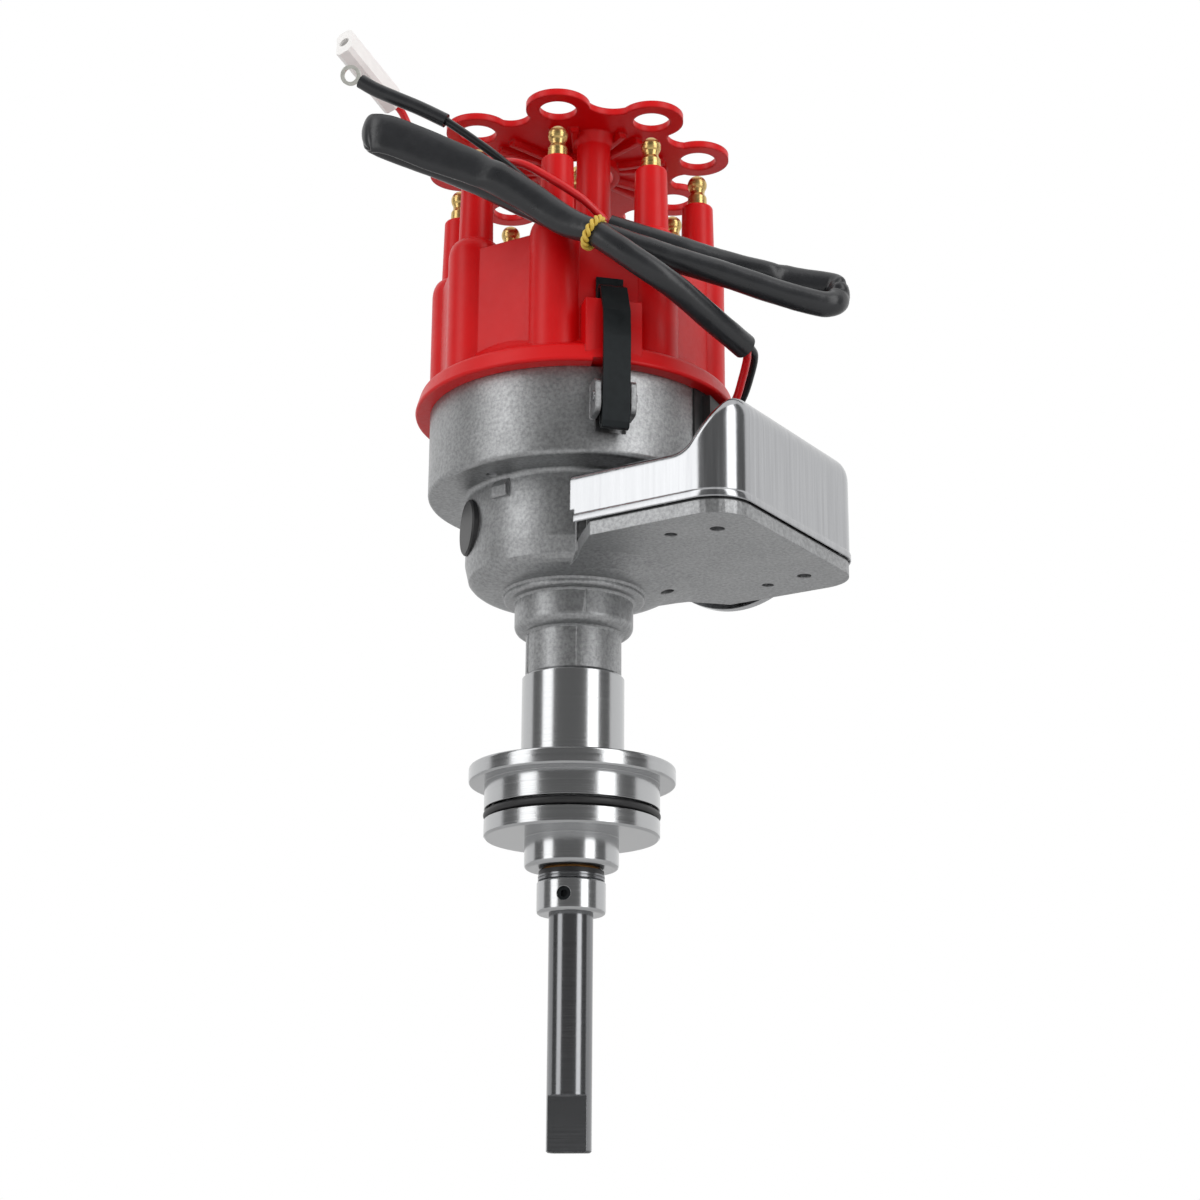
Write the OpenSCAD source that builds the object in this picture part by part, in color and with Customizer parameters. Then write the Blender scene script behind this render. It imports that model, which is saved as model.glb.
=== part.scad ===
/* [Shaft] */
// Diameter of the drive shaft
shaft_d = 12.7; // [11:0.1:14]
// Reach of the shaft below the mounting flange
shaft_reach = 103.3; // [90:0.5:130]
// Length of the flat drive tang
tang_length = 15.3; // [10:0.5:20]
// Thickness of the drive tang
tang_thickness = 6.35; // [5:0.05:8]
// Diameter of the shaft's upper end, under the cam sleeve
spindle_d = 10; // [9:0.1:11]
// Outside diameter of the shaft collar
collar_d = 19.8; // [18:0.2:24]
// Height of the shaft collar
collar_height = 9.6; // [8:0.2:12]
// Radial running clearance of shafts and sleeves
running_clearance = 0.04; // [0.02:0.01:0.08]

/* [Mounting adapter] */
// Diameter of the pilot that enters the engine
pilot_d = 50.8; // [46:0.1:56]
// Height of the pilot below the flange
pilot_height = 15.7; // [13:0.1:20]
// Diameter of the mounting flange
flange_d = 60; // [58:0.5:66]
// Thickness of the mounting flange
flange_height = 4.9; // [3.5:0.1:7]
// Diameter of the turned sleeve above the flange
sleeve_d = 30; // [29:0.2:33]
// Height of the turned sleeve
sleeve_height = 27.4; // [20:0.2:35]
// Diameter of the boss under the pilot
boss_d = 27.2; // [25:0.2:32]
// Height of the boss under the pilot
boss_height = 8.8; // [7:0.1:12]
// Section diameter of the pilot's O-ring
o_ring_section = 3.2; // [2.6:0.1:3.6]

/* [Housing] */
// Diameter of the narrow cast neck
neck_d = 28.2; // [26.4:0.2:29]
// Height of the narrow cast neck
neck_height = 12.6; // [8:0.2:18]
// Diameter of the wide cast neck
ring_d = 35.1; // [32:0.1:37]
// Height of the wide cast neck
ring_height = 9.4; // [7:0.2:13]
// Diameter of the rounded bead above the wide neck
bead_d = 41.8; // [39:0.2:44]
// Diameter of the lower bowl
lower_bowl_d = 65; // [63:0.5:68]
// Height of the domed underside of the lower bowl
dome_height = 8.6; // [7:0.1:12]
// Height of the lower bowl's straight wall
lower_wall_height = 20.3; // [18:0.1:24]
// Diameter of the upper bowl
upper_bowl_d = 88.2; // [86:0.2:90]
// Height of the upper bowl
upper_bowl_height = 26.5; // [25:0.5:30]
// Wall thickness of both bowls
bowl_wall = 3.4; // [2.8:0.1:4]
// Thickness of the upper bowl's floor
bowl_floor = 4; // [3:0.1:5]
// Angle of the front spring clip about the shaft
clip_angle = -43.3; // [-50:0.1:-40]

/* [Module platform] */
// Distance from the shaft's axis to the platform's outer edge
platform_reach = 75.5; // [72:0.5:82]
// Width of the platform
platform_width = 78.2; // [76:0.2:84]
// Thickness of the platform
platform_thickness = 4; // [3:0.1:5]
// Corner radius of the platform and its cover
platform_corner = 11.2; // [6:0.2:13]
// Height of the cover's low roof above the platform
cover_low_height = 14.6; // [13.5:0.1:16]
// Height of the cover's high end above the platform
cover_high_height = 31.4; // [28:0.1:34]
// Wall thickness of the cover
cover_wall = 1.4; // [1:0.1:2]
// Thickness of the gasket under the cover
gasket_thickness = 0.5; // [0.4:0.1:1]

/* [Vacuum canister] */
// Diameter of the canister's crimped rim
canister_d = 59.6; // [54:0.2:62]
// Distance of the canister's axis from the shaft's axis
canister_offset = 27.5; // [26:0.1:28]
// Stroke of the vacuum rod
rod_stroke = 4.8; // [3:0.1:5.5]
// Outside diameter of the hose nipple
nipple_d = 6.2; // [5:0.1:7]

/* [Cap] */
// Overhang of the cap's bottom rim beyond the upper bowl
cap_rim_overhang = 4.5; // [3.5:0.1:6]
// Height of the cap's bottom rim
cap_rim_height = 5.7; // [5:0.1:7]
// Height of the slope between the rim and the flats
cap_slope_height = 5.8; // [4:0.1:7]
// Height of the cap's fluted wall above the rim
cap_wall_height = 37.4; // [34:0.2:41]
// Distance of the circle of plug towers inside the upper bowl's wall
tower_inset = 6.6; // [5.5:0.1:7.5]
// Number of plug towers
tower_count = 8; // [8]
// Radius of a tower's lower lobe
lobe_r = 8; // [7.2:0.1:8.4]
// Diameter of a tower at its top
tower_top_d = 9.6; // [9:0.1:10.4]
// Height of the plug towers above the cap's deck
tower_height = 25.8; // [22:0.1:30]
// Height of the coil tower above the cap's deck
coil_tower_height = 32; // [30:0.2:34]
// Height of the exposed part of a terminal
terminal_height = 10.7; // [9:0.1:11.5]
// Largest diameter of a terminal
terminal_d = 6; // [5.4:0.1:6.4]

/* [Wire retainer] */
// Height of the retainer's plate above the cap's deck
retainer_lift = 41.8; // [40:0.1:46]
// Thickness of the retainer's plate
retainer_thickness = 2.1; // [1.8:0.1:3]
// Distance of the circle of wire loops beyond the circle of towers
loop_lead = 0.2; // [-1:0.1:1.5]
// Outside diameter of a wire loop
loop_d = 19.2; // [17.5:0.1:20]
// Inside diameter of a wire loop
loop_hole_d = 11.2; // [10.4:0.1:12]
// Distance of each retainer leg from the shaft's axis
leg_offset = 20.5; // [19.5:0.1:22]
// Diameter of a retainer leg
leg_d = 10.2; // [9:0.1:10.5]

/* [Spring clips] */
// Width of the spring strip
clip_width = 8; // [7:0.1:8.4]
// Thickness of the spring strip
clip_thickness = 1; // [0.8:0.1:1.2]

/* [Advance mechanism] */
// Number of reluctor teeth
reluctor_teeth = 8; // [8]
// Radius of the reluctor over its teeth
reluctor_r = 17; // [15:0.1:18]
// Thickness of an advance weight
weight_thickness = 7.5; // [6:0.1:8.5]
// Radius at which each weight pivots
weight_pivot_r = 20; // [19.5:0.1:20.5]

/* [Harness] */
// Diameter of the harness's black tube
loom_d = 7.4; // [7:0.1:7.4]
// Diameter of a single lead
lead_d = 2.4; // [2:0.1:2.8]
// Diameter of the shrink sleeve at the ring terminal
ring_sleeve_d = 4.2; // [3.6:0.1:4.6]
// Width of the yellow tie
tie_width = 3.4; // [2.5:0.1:4]

/* [Hidden] */
$fn = 72;

// Colours of the finishes
cast_grey = "#b3b5b6";
turned_grey = "#d3d5d7";
steel_grey = "#9a9da0";
dark_steel = "#3a3c3e";
cap_red = "#d8141c";
brass_yellow = "#c9a653";
rubber_black = "#1c1c1d";
plated_grey = "#c3c7ca";

// Heights, measured from the underside of the mounting flange
z_tang = -shaft_reach;
z_pilot = -pilot_height;
z_boss = z_pilot - boss_height;
z_sleeve = flange_height;
z_neck = z_sleeve + sleeve_height;
z_ring = z_neck + neck_height;
bead_gap = 0.6;
bead_height = 2.4;
z_step = z_ring + ring_height;
z_dome = z_step + bead_gap + bead_height;
z_wall = z_dome + dome_height;
z_bowl = z_wall + lower_wall_height;
z_floor = z_bowl + bowl_floor;
z_rim = z_bowl + upper_bowl_height;
z_deck = z_rim + cap_rim_height + cap_wall_height;
z_towers = z_deck + tower_height;
z_retainer = z_deck + retainer_lift;

// Radii that several pieces share
spigot_r = 11;
bush_r = 8.2;
lower_bowl_r = lower_bowl_d / 2;
upper_bowl_r = upper_bowl_d / 2;
upper_inner_r = upper_bowl_r - bowl_wall;
tower_circle_r = upper_bowl_r - tower_inset;
loop_circle_r = tower_circle_r + loop_lead;
bead_r = bead_d / 2;
lower_inner_r = lower_bowl_r - bowl_wall + 0.4;
shaft_r = shaft_d / 2;
spindle_r = spindle_d / 2;

// Points along an arc, for the outlines below
function arc(cx, cy, r, from, to, steps = 8) =
    [for (i = [0:steps]) let (a = from + (to - from) * i / steps) [cx + r * cos(a), cy + r * sin(a)]];

module tube(outer, inner, height) {
    difference() {
        cylinder(r = outer, h = height);
        translate([0, 0, -1]) cylinder(r = inner, h = height + 2);
    }
}

module spin(from_angle, radius) {
    rotate([0, 0, from_angle]) translate([radius, 0, 0]) children();
}

// A slab in the plane through the axis: outline in radius and height, centred sideways
module radial_slab(width) {
    rotate([90, 0, 0]) linear_extrude(height = width, center = true) children();
}

// Mounting adapter: flange, pilot and boss turned from one bar, pressed on the cast stem
groove_centre = z_pilot + 6.6;
groove_half = o_ring_section / 2;
groove_depth = o_ring_section - 0.6;
adapter_lip_r = 8.6;
adapter_seat = 4.6;

module mounting_adapter() {
    pilot_r = pilot_d / 2;
    color(turned_grey) rotate_extrude($fn = 120) polygon(concat(
        [[adapter_lip_r, z_boss], [boss_d / 2 - 1.2, z_boss]],
        arc(boss_d / 2 - 1.2, z_boss + 1.2, 1.2, -90, 0, 4),
        [[boss_d / 2, z_pilot], [pilot_r - 0.6, z_pilot], [pilot_r, z_pilot + 0.6],
         [pilot_r, groove_centre - groove_half], [pilot_r - groove_depth, groove_centre - groove_half],
         [pilot_r - groove_depth, groove_centre + groove_half], [pilot_r, groove_centre + groove_half],
         [pilot_r, 0], [flange_d / 2 - 0.7, 0]],
        arc(flange_d / 2 - 0.7, 0.7, 0.7, -90, 0, 3),
        arc(flange_d / 2 - 0.7, flange_height - 0.7, 0.7, 0, 90, 3),
        [[sleeve_d / 2, flange_height], [sleeve_d / 2, z_neck - 0.8], [sleeve_d / 2 - 0.8, z_neck],
         [spigot_r, z_neck], [spigot_r, z_boss + adapter_seat], [adapter_lip_r, z_boss + adapter_seat]]));
}

module pilot_o_ring() {
    ring_r = pilot_d / 2 - groove_depth + groove_half;
    color(rubber_black) translate([0, 0, groove_centre])
        rotate_extrude($fn = 96) translate([ring_r, 0]) circle(r = groove_half - 0.4, $fn = 24);
}

// Housing: stem, two bowls, module platform, clip lugs and canister boss in one casting
dome_skin = 4.4;
ring_corner = 2.8;
bead_round = 1.1;
z_lower_floor = z_dome + dome_skin;
platform_z = z_bowl - 26.3;
platform_top = platform_z + platform_thickness;
half_width = platform_width / 2;
cover_start = 24.4;
lug_height = 10.4;
lug_half = 6;
lug_corner = 2.2;
clip_gap = 0.35;
pin_r = 1.5;
clip_pin_radius = upper_bowl_r + 4.1;
z_clip_pin = z_rim - 10.9;
plate_screw_angle = -99.8;
plate_screw_radius = upper_inner_r - 5.5;
plug_angle = -130.4;
plug_r = 8.4;
z_plug = z_wall + 9.5;
plug_proud = 0.9;
grommet_angle = 10;
grommet_width = 24;
grommet_depth = 15.7;
boss_half = 12;
boss_proud = 0.2;
canister_face = sqrt(pow(upper_bowl_r, 2) - pow(canister_offset - boss_half, 2)) + boss_proud;
canister_z = z_bowl + 5.3;
rod_slot = 8;
arm_screw_gap = 8.8;
cover_screw_x = 50.2;
cover_screw_y = 27.6;
module_screw_x = 63.6;
module_screw_y = 25.2;
small_screw_r = 1.8;
module_screw_r = 2.1;
screw_recess = 1.8;
web_reach = 33;
skirt_reach = 37;
seams = [[-55.3, 0, 0.35, 0.5], [-45, 1, 0.25, 0.5], [-50.5, 2, 0.15, 1.4], [-129, 2, 0.25, 0.6]];

module housing_body() {
    rotate_extrude($fn = 120) polygon(concat(
        [[bush_r, z_boss + adapter_seat], [spigot_r, z_boss + adapter_seat], [spigot_r, z_neck],
         [neck_d / 2, z_neck], [neck_d / 2, z_ring - 0.6]],
        arc(ring_d / 2 - ring_corner, z_ring + ring_corner, ring_corner, -90, 0, 6),
        [[ring_d / 2, z_step], [ring_d / 2 + bead_gap / 2, z_step + bead_gap / 2],
         [ring_d / 2 + bead_gap, z_step + bead_gap]],
        arc(bead_r - bead_round, z_step + bead_gap + bead_round, bead_round, -90, 0, 5),
        [[bead_r, z_dome - 0.6], [bead_r + 0.5, z_dome]],
        [for (i = [1:10]) let (u = i / 10) [bead_r + 0.5 + (lower_bowl_r - bead_r - 0.5) * u,
            z_wall - dome_height * pow(1 - pow(u, 2.6), 1 / 2.6)]],
        [[lower_bowl_r, z_bowl - 1.5]],
        arc(lower_bowl_r + 1.5, z_bowl - 1.5, 1.5, 180, 90, 4),
        arc(upper_bowl_r - 1.4, z_bowl + 1.4, 1.4, -90, 0, 4),
        [[upper_bowl_r, z_rim], [upper_inner_r, z_rim], [upper_inner_r, z_floor], [lower_inner_r, z_floor],
         [lower_inner_r, z_wall + 0.6], [lower_inner_r - 4, z_lower_floor], [bush_r, z_lower_floor]]));
}

module platform_outline() {
    c = platform_corner;
    polygon(concat(
        [[0, -14], [19, -27], [23, -31.2], [31, -half_width]],
        arc(platform_reach - c, -half_width + c, c, -90, 0, 10),
        arc(platform_reach - c, half_width - c, c, 0, 90, 10),
        [[31, half_width], [23, 31.2], [19, 27], [0, 14]]));
}

module clip_lugs() {
    ear = lug_half - clip_width / 2 - clip_gap;
    for (side = [-1, 1])
        translate([0, side * (lug_half - ear / 2), 0]) radial_slab(ear) polygon(concat(
            [[upper_bowl_r - 1, z_clip_pin - lug_height / 2]],
            arc(clip_pin_radius + 2 - lug_corner, z_clip_pin - lug_height / 2 + lug_corner, lug_corner, -90, 0, 5),
            arc(clip_pin_radius + 2 - lug_corner, z_clip_pin + lug_height / 2 - lug_corner, lug_corner, 0, 90, 5),
            [[upper_bowl_r - 1, z_clip_pin + lug_height / 2]]));
}

module clip_pocket() {
    translate([upper_bowl_r - 1.8, -clip_width / 2 - clip_gap, z_clip_pin - 9])
        cube([6, clip_width + 2 * clip_gap, 8.2]);
}

// Solid under the platform that runs from the bead out to the platform's underside
module platform_skirt() {
    intersection() {
        rotate_extrude($fn = 120) polygon([[bead_r - 0.4, z_dome - 0.1], [bead_r + 4, z_dome + 0.3],
            [skirt_reach, platform_z], [skirt_reach, platform_z + 1], [bead_r - 0.4, platform_z + 1]]);
        translate([0, 0, z_dome - 1]) linear_extrude(height = 8) platform_outline();
    }
}

// Small boss on the lower bowl's wall, under the floor
module floor_lug() {
    spin(plate_screw_angle + 2.6, lower_bowl_r) radial_slab(5.6) polygon([[-1, z_bowl - 6.6], [0.9, z_bowl - 6.6],
        [1.5, z_bowl - 5.8], [1.5, z_bowl - 3.4], [0.2, z_bowl - 1.4], [-1, z_bowl - 1.4]]);
}

// Parting lines of the casting: angle, which wall, how proud, how wide
module casting_seams() {
    walls = [[lower_bowl_r, platform_top - 3, platform_top + 8], [ring_d / 2, z_ring + ring_corner, z_step],
        [neck_d / 2, z_neck + 0.4, z_ring]];
    for (s = seams) let (w = walls[s[1]])
        spin(s[0], w[0]) translate([-0.4, -s[3] / 2, w[1]]) cube([0.4 + s[2], s[3], w[2] - w[1]]);
}

module canister_boss() {
    low = canister_z - 5.3;
    difference() {
        translate([canister_offset - boss_half, 12, low])
            cube([2 * boss_half, canister_face - 12, 17]);
        translate([0, 0, low - 1]) cylinder(r = upper_inner_r + 1, h = 20);
    }
}

module housing() {
    color(cast_grey) difference() {
        union() {
            housing_body();
            difference() {
                union() {
                    translate([0, 0, platform_z]) linear_extrude(height = platform_thickness) platform_outline();
                    platform_skirt();
                    translate([0, 0, platform_top - 1]) linear_extrude(height = 8) intersection() {
                        cover_plan(cover_wall + gasket_lap + 0.4);
                        translate([0, -half_width]) square([web_reach, platform_width]);
                    }
                }
                translate([0, 0, platform_z]) cylinder(r = lower_bowl_r - 1, h = 20);
                translate([0, 0, z_dome - 1]) cylinder(r = bead_r, h = 20);
            }
            for (turn = [0, 180]) rotate([0, 0, clip_angle + turn]) clip_lugs();
            canister_boss();
            floor_lug();
            casting_seams();
        }
        for (turn = [0, 180]) rotate([0, 0, clip_angle + turn]) {
            clip_pocket();
            spin(0, clip_pin_radius) translate([0, 0, z_clip_pin]) rotate([90, 0, 0])
                cylinder(r = pin_r, h = 30, center = true, $fn = 32);
        }
        for (turn = [0, 180]) spin(plate_screw_angle + turn, plate_screw_radius)
            translate([0, 0, z_bowl - 1]) cylinder(r = 1.5, h = 12, $fn = 32);
        spin(plug_angle, lower_inner_r - 3) translate([0, 0, z_plug]) rotate([0, 90, 0])
            cylinder(r = plug_r, h = 12, $fn = 48);
        rotate([0, 0, grommet_angle])
            translate([upper_inner_r - 4, -grommet_width / 2, z_rim - grommet_depth])
                cube([12, grommet_width, grommet_depth + 1]);
        translate([canister_offset - rod_slot / 2, 10, canister_z - 2.5])
            cube([rod_slot, canister_face, 9.5]);
        for (side = [-1, 1]) translate([canister_offset + side * arm_screw_gap, canister_face - 9, canister_z + 3])
            rotate([-90, 0, 0]) cylinder(r = 1.6, h = 12, $fn = 32);
        for (side = [-1, 1]) {
            translate([cover_screw_x, side * cover_screw_y, platform_z - 1])
                cylinder(r = small_screw_r, h = platform_thickness + 2, $fn = 32);
            translate([module_screw_x, side * module_screw_y, platform_z - 1])
                cylinder(r = module_screw_r, h = platform_thickness + 2, $fn = 32);
        }
        translate([24.6, 12.6, platform_z - 5]) cylinder(r = 2, h = 5.6, $fn = 32);
    }
}

module lower_bush() {
    color(brass_yellow) translate([0, 0, z_boss - 0.3])
        tube(bush_r, shaft_r + running_clearance, 22, $fn = 64);
}

module upper_bush() {
    color(brass_yellow) {
        translate([0, 0, z_ring - 4]) tube(bush_r, shaft_r + running_clearance, z_lower_floor - z_ring + 4, $fn = 64);
        translate([0, 0, z_lower_floor]) tube(bush_r + 2, shaft_r + running_clearance, 1.2, $fn = 64);
    }
}

module bowl_plug() {
    color(rubber_black) difference() {
        spin(plug_angle, 0) translate([0, 0, z_plug]) rotate([0, 90, 0]) rotate_extrude($fn = 48)
            polygon([[0, 20], [plug_r, 20], [plug_r, lower_bowl_r + plug_proud - 0.5],
                [plug_r - 0.5, lower_bowl_r + plug_proud], [0, lower_bowl_r + plug_proud]]);
        translate([0, 0, z_plug - 20]) cylinder(r = lower_inner_r - 0.8, h = 40, $fn = 96);
    }
}

// Shaft with its flat tang, collar and washers
shim_thickness = 1.5;
washer_thickness = 1.3;
shaft_end_play = 0.3;
z_washer = z_boss - shaft_end_play - 0.3 - washer_thickness;
z_shim = z_washer - shim_thickness;
z_collar = z_shim - collar_height;
tang_angle = -67;
z_base_plate = z_lower_floor + 1.2 + 0.5;
base_plate_thickness = 2.4;
z_weights = z_base_plate + base_plate_thickness + 0.4;
z_yoke = z_weights + weight_thickness + 0.5;
yoke_thickness = 2;
z_reluctor = z_floor + 8.2;
reluctor_height = 6;
z_rotor = z_reluctor + reluctor_height + 1.4;
z_sleeve_top = z_rotor + 17;

module drive_shaft() {
    color(steel_grey) difference() {
        union() {
            translate([0, 0, z_tang]) cylinder(r1 = shaft_r - 0.4, r2 = shaft_r, h = 0.4, $fn = 64);
            translate([0, 0, z_tang + 0.4])
                cylinder(r = shaft_r, h = z_base_plate + base_plate_thickness - z_tang - 0.4, $fn = 64);
            cylinder(r = spindle_r, h = z_sleeve_top - 1.2, $fn = 64);
        }
        for (side = [-1, 1]) rotate([0, 0, tang_angle])
            translate([side * (tang_thickness / 2 + 10) - 10, -shaft_d, z_tang - 1])
                cube([20, 2 * shaft_d, tang_length + 1]);
    }
}

module shaft_collar() {
    color(turned_grey) difference() {
        rotate_extrude($fn = 72) polygon(concat(
            [[shaft_r, z_collar], [collar_d / 2 - 1, z_collar]],
            arc(collar_d / 2 - 1, z_collar + 1, 1, -90, 0, 4),
            [[collar_d / 2, z_shim - 0.7], [collar_d / 2 - 0.6, z_shim], [shaft_r, z_shim]]));
        collar_screw_space(shaft_r - 3, 12);
    }
}

module collar_screw_space(start, length) {
    rotate([0, 0, tang_angle - 2]) translate([start, 0, z_collar + collar_height / 2])
        rotate([0, 90, 0]) cylinder(r = 2, h = length, $fn = 32);
}

module collar_set_screw() {
    color(dark_steel) difference() {
        collar_screw_space(shaft_r + 0.02, 2.9);
        rotate([0, 0, tang_angle - 2]) translate([shaft_r + 1.4, 0, z_collar + collar_height / 2])
            rotate([0, 90, 0]) cylinder(r = 1.15, h = 4, $fn = 6);
    }
}

module rubber_washer() {
    color(rubber_black) translate([0, 0, z_washer]) tube(collar_d / 2 - 0.5, shaft_r, washer_thickness);
}

module steel_shim() {
    color(turned_grey) difference() {
        translate([0, 0, z_shim]) tube(collar_d / 2 - 0.3, shaft_r, shim_thickness);
        translate([0, 0, z_shim + 0.6]) tube(collar_d / 2 + 1, collar_d / 2 - 0.6, 0.3);
    }
}

// Centrifugal advance: base plate on the shaft, two weights, yoke on the cam sleeve
weight_pin_r = 2.5;
drive_pin_r = 1.8;
drive_pin_at = [-14.7, 8.5];
spring_post_r = 1.2;
spring_post_at = [11.5, -16];

module advance_base_plate() {
    color(steel_grey) {
        difference() {
            union() {
                translate([0, 0, z_base_plate]) cylinder(r = 12, h = base_plate_thickness);
                translate([0, 0, z_base_plate]) linear_extrude(height = base_plate_thickness) polygon(concat(
                    arc(weight_pivot_r, 0, 5.5, -70, 70, 8), [[0, 11.9]],
                    arc(-weight_pivot_r, 0, 5.5, 110, 250, 8), [[0, -11.9]]));
            }
            translate([0, 0, z_base_plate - 1]) cylinder(r = shaft_r, h = base_plate_thickness + 2, $fn = 64);
        }
        for (turn = [0, 180]) spin(turn, weight_pivot_r) translate([0, 0, z_base_plate + base_plate_thickness])
            cylinder(r = weight_pin_r, h = z_yoke + yoke_thickness + 4.4 - z_base_plate - base_plate_thickness,
                $fn = 40);
    }
}

module advance_weight() {
    color(steel_grey) {
        translate([0, 0, z_weights]) difference() {
            linear_extrude(height = weight_thickness) polygon(concat(
                arc(weight_pivot_r, 0, 4.6, -140, -20, 6),
                arc(0, 0, 25.9, 8, 140, 16),
                arc(drive_pin_at[0], drive_pin_at[1], 4.2, 160, 280, 6),
                arc(0, 0, 10.6, 140, 30, 10)));
            translate([weight_pivot_r, 0, -1])
                cylinder(r = weight_pin_r + running_clearance, h = weight_thickness + 2, $fn = 40);
        }
        translate([drive_pin_at[0], drive_pin_at[1], z_weights + weight_thickness])
            cylinder(r = drive_pin_r, h = 3, $fn = 32);
    }
}

module advance_weight_a() {
    advance_weight();
}

module advance_weight_b() {
    rotate([0, 0, 180]) advance_weight();
}

// Tension spring between a pivot pin and a yoke post, drawn close wound at its rest length
spring_coil_r = 1.9;
spring_wire_r = 0.45;
z_springs = z_yoke + yoke_thickness + 2.9;

module weight_springs() {
    reach = [spring_post_at[0] - weight_pivot_r, spring_post_at[1]];
    span = norm(reach);
    coil_start = weight_pin_r + spring_coil_r + 0.6;
    coils = floor((span - coil_start - spring_post_r - 1.2) / (2 * spring_wire_r - 0.04));
    color(turned_grey) for (turn = [0, 180]) rotate([0, 0, turn])
        translate([weight_pivot_r, 0, z_springs]) {
            rotate_extrude($fn = 32) translate([weight_pin_r + spring_wire_r, 0]) circle(r = spring_wire_r, $fn = 16);
            rotate([0, 0, atan2(reach[1], reach[0])]) {
                translate([weight_pin_r + 0.1, 0, 0]) rotate([0, 90, 0])
                    cylinder(r = spring_wire_r, h = coil_start - weight_pin_r + 0.6, $fn = 16);
                for (i = [0:coils]) translate([coil_start + i * (2 * spring_wire_r - 0.04), 0, 0]) rotate([0, 90, 0])
                    rotate_extrude($fn = 24) translate([spring_coil_r - spring_wire_r, 0])
                        circle(r = spring_wire_r, $fn = 16);
                translate([coil_start - 0.3, 0, 0]) cube([0.7, spring_coil_r * 1.6, spring_wire_r], center = true);
            }
        }
}

module cam_sleeve() {
    slot_r = norm(drive_pin_at);
    slot_angle = atan2(drive_pin_at[1], drive_pin_at[0]);
    slot_half = drive_pin_r + 0.35;
    color(steel_grey) difference() {
        union() {
            translate([0, 0, z_yoke]) cylinder(r = 8, h = z_sleeve_top - z_yoke, $fn = 64);
            translate([0, 0, z_yoke]) cylinder(r = 11, h = yoke_thickness);
            for (turn = [0, 180]) rotate([0, 0, turn]) {
                rotate([0, 0, slot_angle]) translate([8, -4.4, z_yoke]) cube([slot_r - 2, 8.8, yoke_thickness]);
                rotate([0, 0, atan2(spring_post_at[1], spring_post_at[0])])
                    translate([8, -2.6, z_yoke]) cube([norm(spring_post_at) - 5.4, 5.2, yoke_thickness]);
                translate([spring_post_at[0], spring_post_at[1], z_yoke])
                    cylinder(r = spring_post_r, h = yoke_thickness + 4.4, $fn = 32);
            }
        }
        translate([0, 0, z_yoke - 1]) cylinder(r = spindle_r + running_clearance, h = 60, $fn = 64);
        for (turn = [0, 180]) rotate([0, 0, turn + slot_angle]) translate([0, 0, z_yoke - 1]) {
            translate([slot_r - 0.4, 0, 0]) cylinder(r = slot_half, h = 4, $fn = 32);
            translate([slot_r + 1.9, 0, 0]) cylinder(r = slot_half, h = 4, $fn = 32);
            translate([slot_r - 0.4, -slot_half, 0]) cube([2.3, 2 * slot_half, 4]);
        }
    }
}

module reluctor() {
    color(dark_steel) translate([0, 0, z_reluctor]) difference() {
        union() {
            cylinder(r = reluctor_r - 4.5, h = reluctor_height);
            intersection() {
                cylinder(r = reluctor_r, h = reluctor_height, $fn = 96);
                for (i = [0:reluctor_teeth - 1]) rotate([0, 0, i * 360 / reluctor_teeth])
                    translate([0, -1.3, 0]) cube([reluctor_r + 2, 2.6, reluctor_height]);
            }
        }
        translate([0, 0, -1]) cylinder(r = 8, h = reluctor_height + 2, $fn = 64);
    }
}

// Vacuum advance: lower plate screwed to the bowl, pickup plate turning on its collar
lower_plate_thickness = 1.6;
plate_collar_r = 13;
plate_bore_r = 10.6;
z_pickup_plate = z_floor + lower_plate_thickness + 0.3;
pickup_plate_thickness = 2;
z_plate_top = z_pickup_plate + pickup_plate_thickness;
pickup_angle = 205;
link_pin_r = 1.5;
link_rest_angle = -5;

module lower_plate() {
    color(steel_grey) translate([0, 0, z_floor]) difference() {
        union() {
            cylinder(r = upper_inner_r - 0.3, h = lower_plate_thickness, $fn = 96);
            cylinder(r = plate_collar_r, h = lower_plate_thickness + 4.2);
        }
        translate([0, 0, -1]) cylinder(r = plate_bore_r, h = 10);
        for (turn = [0, 180]) spin(plate_screw_angle + turn, plate_screw_radius)
            translate([0, 0, -1]) cylinder(r = 1.5, h = 4, $fn = 32);
    }
}

module plate_screws() {
    color(turned_grey) for (turn = [0, 180]) spin(plate_screw_angle + turn, plate_screw_radius) {
        translate([0, 0, z_bowl + 0.4]) cylinder(r = 1.5, h = bowl_floor + lower_plate_thickness - 0.4, $fn = 32);
        translate([0, 0, z_floor + lower_plate_thickness]) cylinder(r = 2.8, h = 1.8, $fn = 32);
    }
}

module pickup_plate() {
    color(steel_grey) {
        translate([0, 0, z_pickup_plate]) difference() {
            union() {
                cylinder(r = plate_collar_r + 3, h = pickup_plate_thickness);
                rotate([0, 0, pickup_angle]) translate([8, -9.4, 0]) cube([24, 18.8, pickup_plate_thickness]);
                rotate([0, 0, link_rest_angle]) translate([8, -5, 0])
                    cube([canister_offset - 3.5, 10, pickup_plate_thickness]);
            }
            translate([0, 0, -1]) cylinder(r = plate_collar_r + running_clearance, h = 5);
        }
        spin(link_rest_angle, canister_offset) translate([0, 0, z_plate_top - 1])
            cylinder(r = link_pin_r, h = 3.6, $fn = 32);
    }
}

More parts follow.
